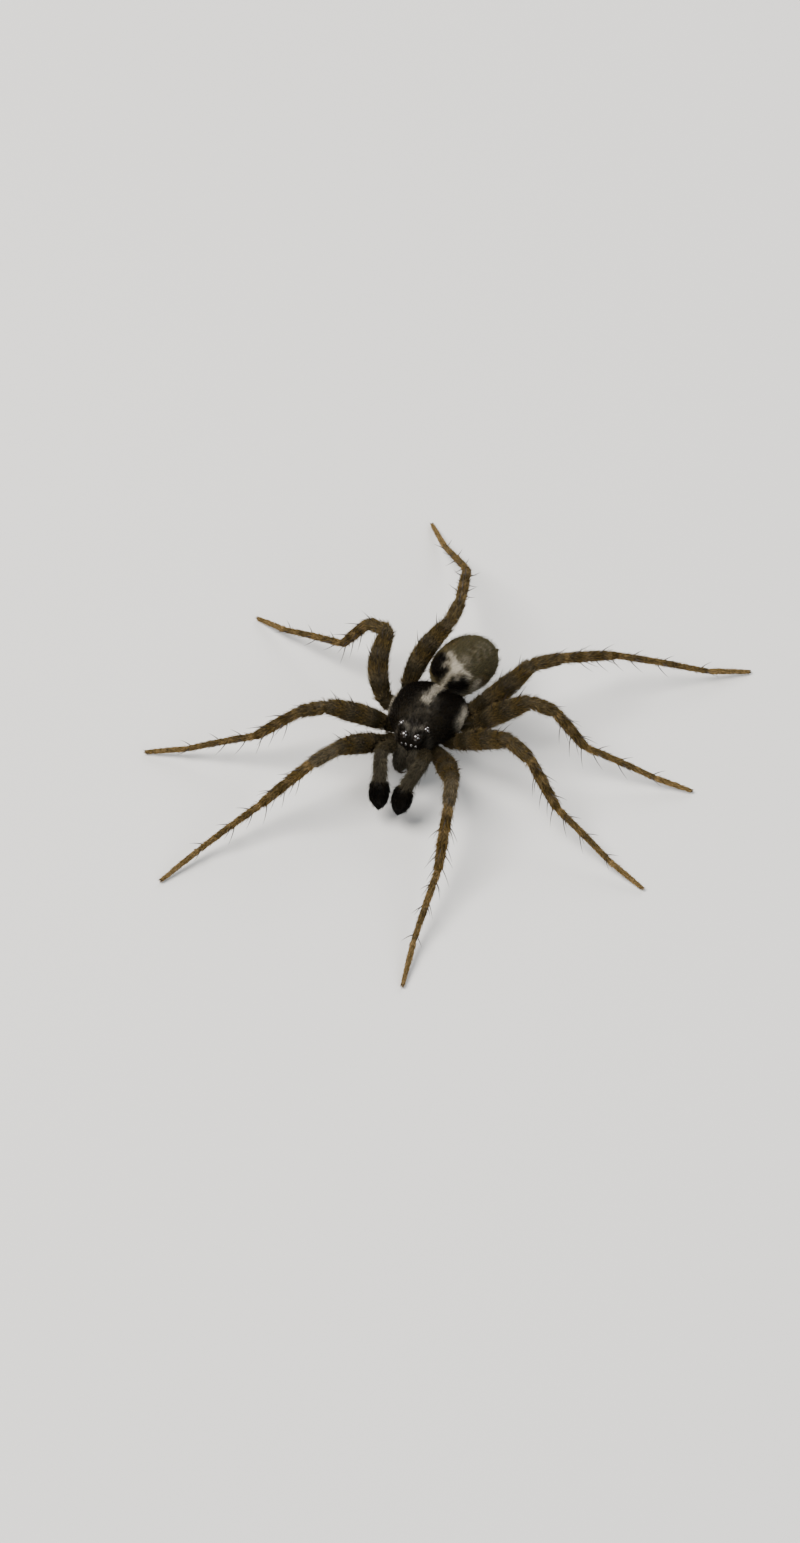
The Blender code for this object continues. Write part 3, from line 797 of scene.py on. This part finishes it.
def softened(line, reach):
    """A line of evenly spaced points with its corners rounded and its ends kept."""
    edge = 3 * reach
    kernel = np.exp(-0.5 * (np.arange(-edge, edge + 1) / reach) ** 2)
    kernel /= kernel.sum()
    before = 2.0 * line[0] - line[edge:0:-1]
    after = 2.0 * line[-1] - line[-2:-edge - 2:-1]
    full = np.concatenate([before, line, after])
    return np.stack([np.convolve(full[:, k], kernel, mode="valid") for k in range(3)], axis=1)


def run_through(joints, bows, step):
    """Evenly spaced points through the joints: places, stretch numbers and shares along.

    A bow is how far a stretch's middle stands off its straight line, a height or a vector.
    """
    places, stretches, shares = [], [], []
    for number, (start, end, bow) in enumerate(zip(joints, joints[1:], bows)):
        count = max(int(round(np.linalg.norm(end - start) / step)), 3)
        t = (np.arange(count) + 0.5) / count
        offset = bow * UP if np.isscalar(bow) else bow
        places.append(start + (end - start) * t[:, None] + np.sin(math.pi * t)[:, None] * offset)
        stretches.append(np.full(count, number))
        shares.append(t)
    return np.concatenate(places), np.concatenate(stretches), np.concatenate(shares)


def stretch_radii(stretches, shares, table):
    """Radius along a limb from start, middle and end values of each stretch."""
    start, middle, end = np.array(table).T[:, stretches]
    swell = 4.0 * shares * (1.0 - shares) * (middle - 0.5 * (start + end))
    return start + (end - start) * shares + swell


def solids_joints(parts):
    """Where each of a limb's solids meets the next."""
    return [meeting_place(a, b) for a, b in zip(parts, parts[1:])]


def joint_shape(line, joints):
    """Share by which a limb narrows at each joint and swells just beside it."""
    share = np.ones(len(line))
    for joint in joints:
        away = np.linalg.norm(line - joint, axis=1)
        swell = JOINT_SWELL * bell(away, SWELL_AWAY, SWELL_WIDTH)
        share += swell - JOINT_PINCH * bell(away, 0.0, PINCH_WIDTH)
    return share


def leg_joints(pair, side):
    """Inner end of the coxa, hip, knee, the ends of patella, tibia and metatarsus, and the toe."""
    parts = [f"leg_{pair}_{side}_{part}" for part in LEG_PARTS]
    ends = solids_joints(parts)
    mirror = dict(SIDES)[side]
    swing = math.radians(COXA_SWINGS[side][pair - 1])
    reach = COXA_LENGTHS[pair - 1]
    out, back = mirror * reach * math.cos(swing), reach * math.sin(swing)
    inner = body_middle() + [mirror * COXA_ROOT_X, COXA_ROOT_Y[pair - 1], COXA_HEIGHT]
    hip = inner + [out, back, HIP_HEIGHT - COXA_HEIGHT]
    toe = far_end(parts[-1], ends[-1])
    toe[2] = TOE_HEIGHT
    return [inner, hip] + ends + [toe]


def femur_bow(pair, side, hip, knee):
    """How far the middle of the femur's solid stands off the straight line from hip to knee.

    A bow past the limit is left out.
    """
    points = node_points(f"leg_{pair}_{side}_femur")
    run = knee - hip
    share = (points - hip) @ run / (run @ run)
    middle = points[np.abs(share - 0.5) < 0.12].mean(axis=0)
    bow = middle - hip - run * ((middle - hip) @ run / (run @ run))
    return bow * (1.0 if np.linalg.norm(bow) < FEMUR_BOW_LIMIT else 0.0)


def leg_line(pair, side):
    """The joints of a leg, then places, stretch numbers and shares along its middle line."""
    joints = leg_joints(pair, side)
    bows = (0.0, femur_bow(pair, side, joints[1], joints[2]), *LEG_BOWS)
    line, stretches, shares = run_through(joints, bows, LEG_STEP)
    return joints, softened(line, 2), stretches, shares


def leg_form(pair, side):
    joints, line, stretches, shares = leg_line(pair, side)
    table = [COXA_RADII] + [LEG_RADII[part] for part in LEG_PARTS]
    radii = stretch_radii(stretches, shares, table) * joint_shape(line, joints[1:-1])
    tip = np.linalg.norm(line - joints[-1], axis=1) / TOE_ROUNDING
    radii *= np.sqrt(np.clip(1.0 - (1.0 - np.minimum(tip, 1.0)) ** 2, 0.12, 1.0))
    points = swept(line, radii, LEG_SIDES)
    points[..., 2] = np.maximum(points[..., 2], SKIN_FLOOR)
    tone, pale = leg_marks(pair, line, joints, stretches, shares)
    up = np.sin(turns(LEG_SIDES))
    tone = tone[:, None] * (1.0 - 0.12 * np.clip(up, 0, 1)) + 0.10 * np.clip(-up, 0, 1)
    buried = smooth_step(0.25, 0.6, np.where(stretches == 0, shares, 1.0))
    down = stretches + shares
    length = np.interp(down, (0.0, 2.0, 3.5, 4.5, 5.5, 6.0), (1.0, 1.0, 0.85, 0.62, 0.52, 0.42))
    thick = np.interp(down, (2.5, 4.5), (1.0, 1.5))
    grey = 0.18 * (stretches < 3)
    form = Form(f"leg_{pair}_{side}", points, tone, pale, grey, buried * thick, length)
    form.line, form.stretches, form.shares = line, stretches, shares
    return form


def leg_marks(pair, line, joints, stretches, shares):
    """Tones lighten from hip to toe, with dim dark rings and yellowish joints."""
    first = pair == 1
    base = np.array(FIRST_LEG_TONES if first else LEG_TONES)[stretches]
    rings = 0.07 * np.cos(2.0 * math.pi * 2.5 * shares) * np.isin(stretches, (1, 3, 4))
    femur_fade = -0.07 * (stretches == 1) * smooth_step(0.6, 0.0, shares)
    tone = base + rings + femur_fade
    for number, joint in enumerate(joints[2:-1]):
        near = bell(np.linalg.norm(line - joint, axis=1), 0.0, 0.09 * MM)
        tone = tone + near * (0.20 if number == 2 else 0.10)
    flecks = 0.5 + 0.5 * np.sin(shares * 19.0 + stretches * 2.0)
    pale = 0.035 * flecks * np.isin(stretches, (1, 2, 3)) + 0.02 * (stretches >= 4)
    return tone, pale + (0.05 if first else 0.0) * (stretches == 2)


def palp_form(side):
    """One feeler: its inner end lies in the face, and its last joint is swollen."""
    parts = [f"palp_{side}_{part}" for part in PALP_PARTS]
    joints = solids_joints(parts)
    root = far_end(parts[0], joints[0])
    root += unit(root - joints[0]) * PALP_INWARD
    tip = far_end(parts[-1], joints[-1], PALP_TIP_DEPTH)
    line, stretches, shares = run_through([root] + joints + [tip], PALP_BOWS, PALP_STEP)
    line = softened(line, 2)
    radii = stretch_radii(stretches, shares, [PALP_RADII[part] for part in PALP_PARTS])
    radii *= joint_shape(line, joints)
    tip_share = np.where(stretches == 2, shares, 0.0)
    radii *= np.sqrt(np.clip(1.0 - smooth_step(0.80, 1.06, tip_share), 0.08, 1.0))
    buried = smooth_step(0.30, 0.55, np.where(stretches == 0, shares, 1.0))
    tone = PALP_TONES[stretches] - 0.04 * tip_share
    length = PALP_HAIR_LENGTHS[stretches] * (1.0 - 0.35 * tip_share)
    points = swept(line, radii, PALP_SIDES, squash=0.94)
    grey = 0.25 * (stretches < 2)
    return Form(f"palp_{side}", points, tone, PALP_PALE[stretches], grey, buried, length)


def bulb_form(side):
    """The male's bulb in the hollow under the palp's last joint."""
    root = meeting_place(f"palp_{side}_tibia", f"palp_{side}_tarsus")
    tip = far_end(f"palp_{side}_tarsus", root, PALP_TIP_DEPTH)
    middle = root + (tip - root) * BULB_ALONG + BULB_OFFSET
    form = ellipsoid_form(f"bulb_{side}", middle, BULB_SIZE, tone=0.05, density=0.0)
    ridges = 0.012 * MM * np.sin(np.arange(form.points.shape[0]) * 1.9)[:, None, None]
    form.points += unit(form.points - middle) * ridges
    return form


def jaw_form(side, mirror):
    """One jaw: a stout body that hangs from the face and narrows to its fang."""
    foot = jaw_foot(side, mirror) + [mirror * JAW_IN, 0.0, 0.0]
    joints = [foot + [0.0, back, up] for back, up in JAW_LINE]
    line, stretches, shares = run_through(joints, (0.0, 0.0, 0.0), JAW_STEP)
    line = softened(line, 3)
    down = (stretches + shares) / 3.0
    radii = (0.175 + 0.040 * bell(down, 0.50, 0.25)) * MM
    radii *= np.sqrt(1.0 - 0.72 * smooth_step(0.70, 1.0, down))
    points = swept(line, radii, JAW_SIDES, reference=(0.0, 1.0, 0.0))
    tone = 0.06 + 0.12 * smooth_step(0.5, 1.0, down)
    pale = 0.06 * (1.0 - smooth_step(0.45, 0.85, down))
    density = smooth_step(-0.05, 0.10, down) * (1.0 - 0.5 * smooth_step(0.80, 1.0, down))
    return Form(f"jaw_{side}", points, tone, pale, 0.2, density, 0.9)


def sternum_form():
    return ellipsoid_form(
        "sternum", underside() + STERNUM_PLACE, STERNUM_SIZE, 26, 36,
        tone=0.30, pale=0.12, grey=0.3, density=0.8,
    )


def mouth_forms():
    """The two lobes beside the mouth and the lip between them."""
    base = underside() + MOUTH_PLACE
    made = []
    for side, mirror in SIDES:
        place = base + mm(mirror * 0.20, 0.0, 0.06)
        name = f"mouth_lobe_{side}"
        made.append(ellipsoid_form(name, place, MOUTH_LOBE_SIZE, tone=0.40, density=0.5))
    place = base + mm(0.0, 0.10, 0.05)
    made.append(ellipsoid_form("mouth_lip", place, MOUTH_LIP_SIZE, tone=0.20, density=0.5))
    return made


def waist_form():
    """The narrow ribbed stalk between the front body and the abdomen."""
    front = body_middle() + [0.0, 0.38 * CARAPACE_LENGTH, MARGIN_HEIGHT + 0.02 * MM]
    line, _, shares = run_through([front, abdomen_centre()], (0.0,), WAIST_STEP)
    radii = WAIST_RADIUS + WAIST_RIBS * np.cos(shares * 12.0)
    return Form("waist", swept(line, radii, WAIST_SIDES), tone=0.10, density=0.0)


def spinneret_forms():
    """Six short cones on a common base below the tail, and the small lobe above them."""
    tail = abdomen_centre() + turned([0.0, 0.465 * ABDOMEN_SIZE[1], -0.16 * ABDOMEN_SIZE[2]])
    back = turned([0.0, 1.0, 0.0])
    across, up = cross_axes(back)
    made = [ellipsoid_form("tail_base", tail, TAIL_BASE_SIZE, 12, 18, tone=0.25, grey=0.4)]
    for side, mirror in SIDES:
        for number, (out, rise, reach, radius) in enumerate(SPINNERETS):
            start = tail + (across * mirror * out + up * rise) * MM
            end = start + unit(back + across * mirror * 0.12 + up * 0.5 * rise) * reach * MM
            line, _, t = run_through([start, end], (0.0,), SPINNERET_STEP)
            radii = radius * MM * (1.0 - 0.25 * t - 0.55 * smooth_step(0.80, 1.0, t))
            name = f"spinneret_{number}_{side}"
            points = swept(line, radii, SPINNERET_SIDES)
            made.append(Form(name, points, tone=0.28, grey=0.5, length=0.6))
    place = tail + up * 0.15 * MM + back * 0.10 * MM
    made.append(ellipsoid_form("tail_lobe", place, TAIL_LOBE_SIZE, 10, 14, tone=0.3, grey=0.5))
    return made


# ------------------------------------------------------------- one skin


def body_forms():
    """Every soft part of the spider as a closed form."""
    forms = [carapace_form(), abdomen_form(), sternum_form(), waist_form()]
    forms += mouth_forms() + spinneret_forms()
    for side, mirror in SIDES:
        forms += [palp_form(side), bulb_form(side), jaw_form(side, mirror)]
    forms += [leg_form(pair, side) for pair in PAIRS for side, _ in SIDES]
    return forms


def united_mesh(forms):
    """The forms joined into one closed surface."""
    others = bpy.data.collections.new("forms")
    trunk = placed("trunk", forms[0].mesh())
    tools = [placed(form.name, form.mesh(), others) for form in forms[1:]]
    joiner = trunk.modifiers.new("join", "BOOLEAN")
    joiner.operation = "UNION"
    joiner.solver = "EXACT"
    joiner.operand_type = "COLLECTION"
    joiner.collection = others
    graph = bpy.context.evaluated_depsgraph_get()
    mesh = bpy.data.meshes.new_from_object(trunk.evaluated_get(graph))
    for helper in [trunk] + tools:
        bpy.data.objects.remove(helper, do_unlink=True)
    bpy.data.collections.remove(others)
    return mesh


def nearest_marks(forms, points):
    """Marks of the closest form point for each given point."""
    places = np.concatenate([form.capped(form.points) for form in forms])
    marks = np.concatenate([form.capped(form.marks) for form in forms])
    tree = KDTree(len(places))
    for number, place in enumerate(places):
        tree.insert(place, number)
    tree.balance()
    return marks[[tree.find(point)[1] for point in points]]


def build_skin(forms, material):
    """One skin in the place of every solid but the eyes."""
    mesh = united_mesh(forms)
    mesh.name = "skin"
    points = np.empty(3 * len(mesh.vertices))
    mesh.vertices.foreach_get("co", points)
    set_marks(mesh, nearest_marks(forms, points.reshape(-1, 3)))
    skin = add_piece("skin", mesh, material)
    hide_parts(*[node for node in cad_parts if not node.startswith("eye_")])


# ------------------------------------------------------------- coat


class Coat:
    """Gathers hairs and writes them out as closed meshes with a map of their roots."""

    def __init__(self, material, forms):
        self.material = material
        self.rng = np.random.default_rng(SEED)
        self.patches = self.map_patches(forms)

    @staticmethod
    def map_patches(forms):
        """Give each form its own rectangle on the unit map, as its corner and its size."""
        haired = [form for form in forms if form.density.max() > 0.0]
        cells = np.array([MAP_COLUMNS, math.ceil(len(haired) / MAP_COLUMNS)])
        size = 1.0 / cells - 3.0 * MAP_GAP
        return {
            form.name: (np.array([number % MAP_COLUMNS, number // MAP_COLUMNS]) / cells + MAP_GAP, size)
            for number, form in enumerate(haired)
        }

    def hairs(self, form, per_mm2, length, width, lift, spread):
        """Hairs of a form as arrays of corner places, marks and map places."""
        length, width = mm(length, width)
        area = form.roots(1, np.random.default_rng(0))["area"] / MM ** 2
        count = int(per_mm2 * area)
        rng = self.rng
        root = form.roots(count, rng)
        normal, along = root["normal"], root["along"]
        along = unit(along - normal * (along * normal).sum(axis=1, keepdims=True))
        beside = np.cross(normal, along)
        swing = np.radians(rng.normal(0.0, spread, count))[:, None]
        lie = along * np.cos(swing) + beside * np.sin(swing)
        long = length * root["length"][:, None] * rng.uniform(0.65, 1.30, (count, 1))
        flat = lift * (0.35 + 0.65 * np.minimum(root["length"], 1.0))
        rise = np.radians(np.clip(rng.normal(1.0, 0.35, count) * flat, 4.0, 80.0))[:, None]
        low_way = lie * np.cos(rise) + normal * np.sin(rise)
        high_way = lie * np.cos(0.35 * rise) + normal * np.sin(0.35 * rise)
        middle = root["place"] + low_way * 0.5 * long
        tip = middle + high_way * 0.5 * long
        foot = root["place"] - normal * 0.4 * width
        side = unit(np.cross(low_way, normal))
        back = np.cross(side, low_way)
        edges = []
        for centre, size in ((foot, 0.5 * width), (middle, 0.40 * width)):
            for turn in 0.5 * math.pi + turns(3):
                edges.append(centre + (side * math.cos(turn) + back * math.sin(turn)) * size)
        verts = np.stack(edges + [tip], axis=1)
        marks = np.concatenate([root["marks"], rng.random((count, 1))], axis=1)
        corner, size = self.patches[form.name]
        return verts, marks, corner + root["map"] * size

    def write(self, name, slot, batches):
        """Write batches of hairs as one piece."""
        verts, marks, where = (np.concatenate(arrays) for arrays in zip(*batches))
        count = len(verts)
        first = HAIR_CORNERS * np.arange(count)
        index = (np.array(HAIR_FACES) + first[:, None, None]).reshape(-1)
        mesh = bpy.data.meshes.new(name)
        mesh.vertices.add(HAIR_CORNERS * count)
        mesh.vertices.foreach_set("co", verts.reshape(-1).astype(np.float32))
        mesh.loops.add(len(index))
        mesh.loops.foreach_set("vertex_index", index.astype(np.int32))
        mesh.polygons.add(len(index) // 3)
        mesh.polygons.foreach_set("loop_start", np.arange(0, len(index), 3, dtype=np.int32))
        mesh.update(calc_edges=True)
        spots = where[:, None] + np.array(HAIR_MAP) * HAIR_PATCH
        layer = mesh.uv_layers.new(name="OFBake")
        layer.uv.foreach_set("vector", spots.reshape(-1, 2)[index].astype(np.float32).ravel())
        set_marks(mesh, np.repeat(marks, HAIR_CORNERS, axis=0))
        add_piece(name, mesh, self.material)


def build_coat(forms, material):
    """Clothe every part: short flat hairs, and a sparser layer that stands up."""
    coat = Coat(material, forms)
    named = {form.name: form for form in forms}
    for name, slot, members, layers in COAT:
        batches = [coat.hairs(named[member], *layer) for member in members for layer in layers]
        coat.write(name, slot, batches)


# ------------------------------------------------------------- eyes, fangs, claws and spines


def lens_mesh(name, centre, radius, look):
    """A ball a little flattened along the way it looks."""
    y, side, rise = angle_grid(*LENS_GRID)
    around = np.sqrt(1.0 - y * y)
    across, up = cross_axes(look)
    ball = np.stack([around * side, around * rise, y * LENS_DEPTH], axis=-1) @ [across, up, look]
    return Form(name, centre + ball * radius).mesh()


def rim_mesh(name, centre, radius, look):
    """A low ring round a lens, with an oval section."""
    across, up = cross_axes(look)
    rings, sides = RIM_GRID
    turn, section = turns(rings)[:, None, None], turns(sides)[:, None]
    out = radius * (0.95 + 0.14 * np.cos(section))
    lift = radius * (0.10 + 0.16 * np.sin(section))
    points = centre + (across * np.cos(turn) + up * np.sin(turn)) * out + look * lift
    faces = []
    for i in range(rings):
        for j in range(sides):
            here, ahead, beside = i * sides, (i + 1) % rings * sides, (j + 1) % sides
            faces.append((here + j, here + beside, ahead + beside, ahead + j))
    return closed_mesh(name, points.reshape(-1, 3), faces)


def build_eyes(material, rim_material):
    """Eight lenses, each in a low dark rim."""
    head = body_middle() + EYE_LOOK_BASE
    for name, (centre, radius) in eye_sites().items():
        look = unit(centre - head)
        lens = lens_mesh(f"lens_{name}", centre, LENS_SHARE * radius, look)
        eye = add_piece(f"lens_{name}", lens, material)
        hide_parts(f"eye_{name}")
        rim = rim_mesh(f"rim_{name}", centre, radius, look)
        add_piece(f"rim_{name}", rim, rim_material)


def horn(start, way, bend, length, radius):
    """A slender tapered horn that leaves along way and bends over towards bend."""
    t = np.linspace(0.0, 1.0, HORN_RINGS)[:, None]
    line = start + (unit(way) * t + unit(bend) * 0.35 * t * t) * length / 1.1
    radii = radius * (1.0 - 0.93 * t[:, 0] ** 1.3)
    points = swept(line, radii, HORN_SIDES, reference=np.cross(way, bend))
    return Form("horn", points).mesh_data()


def add_horns(name, horns, material):
    """Join horns into one piece that stays above the floor."""
    verts, faces, start = [], [], 0
    for horn_verts, horn_faces in horns:
        verts.append(horn_verts)
        faces += [tuple(int(i) + start for i in face) for face in horn_faces]
        start += len(horn_verts)
    verts = np.concatenate(verts)
    verts[:, 2] = np.maximum(verts[:, 2], HORN_FLOOR)
    add_piece(name, closed_mesh(name, verts, faces), material)


def leg_forms(forms):
    return [form for form in forms if form.name.startswith("leg_")]


def leg_spot(form, stretch, share, turn):
    """Surface place, outward normal and along direction on a leg."""
    ring = np.argmin(np.abs(form.stretches - stretch) * 10.0 + np.abs(form.shares - share))
    ring = min(max(ring, 1), len(form.points) - 2)
    side = int(round(turn / 360.0 * LEG_SIDES)) % LEG_SIDES
    place = form.points[ring, side]
    return place, unit(place - form.line[ring]), unit(form.line[ring + 1] - form.line[ring - 1])


def build_spines(forms, material):
    """Standing spines in the places wolf spiders have them, one piece a leg."""
    rng = np.random.default_rng(SEED + 1)
    for form in leg_forms(forms):
        horns = []
        for stretch, shares, degrees, length in SPINES:
            for share, turn in itertools.product(shares, degrees):
                place, out, along = leg_spot(form, stretch, share + rng.uniform(-0.03, 0.03), turn)
                way = out * 0.85 + along * rng.uniform(0.55, 0.85)
                size = length * MM * rng.uniform(0.88, 1.12)
                horns.append(horn(place - out * 0.02 * MM, way, along, size, SPINE_RADIUS))
        add_horns(f"spines_{form.name}", horns, material)


def build_claws(forms, material):
    """Two hooked claws at each foot's tip."""
    for form in leg_forms(forms):
        along = unit((form.line[-1] - form.line[-6]) * [1.0, 1.0, 0.0])
        across = np.cross(along, UP)
        horns = []
        for mirror in (-1.0, 1.0):
            start = form.line[-2] + across * mirror * 0.025 * MM + mm(0.0, 0.0, 0.015)
            way = along + across * mirror * 0.25 + UP * 0.25
            horns.append(horn(start, way, along * 0.3 - UP, CLAW_LENGTH, CLAW_RADIUS))
        add_horns(f"claws_{form.name}", horns, material)


def build_fangs(material):
    """One short curved fang under each jaw, its tip to the middle."""
    for side, mirror in SIDES:
        ways = np.array([mirror, 1.0, 1.0])
        line = jaw_foot(side, mirror) + FANG_ROOT * ways - FANG_LINE * ways
        radii = np.linspace(*FANG_RADII, len(line))
        form = Form(f"fang_{side}", swept(line, radii, FANG_SIDES, reference=(0.0, 1.0, 0.2)))
        add_piece(form.name, form.mesh(), material)


# ------------------------------------------------------------- finishes


def coat_colour(shader, spread):
    """Colour of skin or hair from its marks, the same rule for both.

    The marks' fourth number differs from hair to hair, and spread says how much it counts.
    """
    marks = shader.node("ShaderNodeAttribute", {"attribute_name": "marks"})
    each = shader.node("ShaderNodeAttribute", {"attribute_name": "marks"}, output=3)
    tone, pale, grey = (
        shader.node("ShaderNodeSeparateColor", None, {0: marks}, output=number) for number in range(3)
    )
    mottle = shader.noise(4.0, 4.0)
    tone = tone + ((mottle - 0.5) * 0.5 + (each - 0.5) * spread) * (tone + 0.09)
    ramp = shader.node("ShaderNodeValToRGB", {"stops": COAT_RAMP}, {0: tone.clamp()})
    olive = shader.mix((grey * 0.9).clamp(), ramp, OLIVE_HAIR)
    fleck = pale + ((each - 0.5) * spread * 0.5 + (mottle - 0.5) * 0.4) * (pale * 3.0).clamp()
    return shader.mix(fleck.clamp(), olive, PALE_HAIR)


def skin_finish():
    shader = Shader("spider_skin")
    colour = shader.mix(0.5, coat_colour(shader, 0.0), BARE_SKIN)
    pores = shader.noise(38.0, 4.0)
    folds = shader.noise(9.0, 3.0)
    normal = shader.bump(pores * 0.6 + folds * 0.4, 0.02 * MM, 0.7)
    rough = pores * 0.25 + 0.40
    return shader.set(Base_Color=colour, Roughness=rough, Normal=normal, Specular_IOR_Level=0.12)


def hair_finish():
    shader = Shader("spider_hair")
    colour = coat_colour(shader, 0.9)
    return shader.set(Base_Color=colour, Roughness=0.65, Specular_IOR_Level=0.045)


def lens_finish():
    shader = Shader("eye_lens")
    depth = shader.noise(10.0, 2.0)
    colour = shader.mix(depth, *LENS_COLOURS)
    return shader.set(
        Base_Color=colour, Roughness=0.06, Specular_IOR_Level=0.7, Coat_Weight=1.0,
        Coat_Roughness=0.03,
    )


def horn_finish(name, dark, light, roughness, shine):
    shader = Shader(name)
    streak = shader.noise(30.0, 3.0)
    colour = shader.mix(streak, dark, light)
    normal = shader.bump(shader.noise(60.0, 2.0), 0.004 * MM, 0.4)
    return shader.set(Base_Color=colour, Roughness=roughness, Normal=normal, Specular_IOR_Level=shine)


def floor_finish():
    shader = Shader("pale_floor")
    colour = shader.mix(shader.noise(0.05, 2.0), *FLOOR_COLOURS)
    return shader.set(Base_Color=colour, Roughness=0.9)


# ------------------------------------------------------------- floor, lights and camera


def build_stage(material):
    """The plain floor, a thin slab with its top at zero."""
    edge = FLOOR_HALF
    square = ((-edge, -edge), (edge, -edge), (edge, edge), (-edge, edge))
    verts = [(x, y, z) for z in (-FLOOR_DEPTH, 0.0) for x, y in square]
    sides = [(i, (i + 1) % 4, (i + 1) % 4 + 4, i + 4) for i in range(4)]
    floor = placed("floor", closed_mesh("floor", verts, [(0, 3, 2, 1), (4, 5, 6, 7)] + sides))
    floor.data.materials.append(material)


def aim(obj, place, target):
    obj.location = Vector(place)
    obj.rotation_mode = "QUATERNION"
    obj.rotation_quaternion = (Vector(target) - Vector(place)).to_track_quat("-Z", "Y")


def build_lights():
    """A large soft lamp overhead, a weaker one from the other side, and an even surround."""
    for name, place, width, power, colour in LAMPS:
        data = bpy.data.lights.new(name, "AREA")
        data.shape = "DISK"
        data.size = width
        data.energy = power
        data.color = colour
        aim(placed(name, data), place, LAMP_AIM)
    world = bpy.data.worlds.new("surround")
    world.use_nodes = True
    surround = world.node_tree.nodes["Background"]
    surround.inputs["Color"].default_value = SURROUND_COLOUR
    surround.inputs["Strength"].default_value = SURROUND
    bpy.context.scene.world = world


def build_camera():
    """Looks down on the spider from in front and to its left, framed as the pose asks."""
    data = bpy.data.cameras.new("camera")
    data.lens = LENS_LENGTH
    data.sensor_width = FILM_WIDTH
    data.clip_start = 0.004
    data.clip_end = 3.0
    camera = placed("camera", data)
    turn, rise = math.radians(VIEW_AZIMUTH), math.radians(VIEW_ELEVATION)
    right = np.array([math.cos(turn), math.sin(turn), 0.0])
    back = np.cross(right, UP) * math.cos(rise) + UP * math.sin(rise)
    up = np.cross(back, right)
    target = body_middle() + UP * VIEW_AIM + right * VIEW_ACROSS + up * VIEW_UP
    distance = VIEW_TALL * LENS_LENGTH / FILM_WIDTH
    aim(camera, target + back * distance, target)
    bpy.context.scene.camera = camera


def main():
    forms = body_forms()
    build_skin(forms, skin_finish())
    build_coat(forms, hair_finish())
    dark_horn = horn_finish(*DARK_HORN)
    rim_horn = horn_finish(*RIM_HORN)
    build_eyes(lens_finish(), rim_horn)
    build_spines(forms, dark_horn)
    build_claws(forms, dark_horn)
    build_fangs(horn_finish(*FANG_HORN))
    build_stage(floor_finish())
    build_lights()
    build_camera()


main()
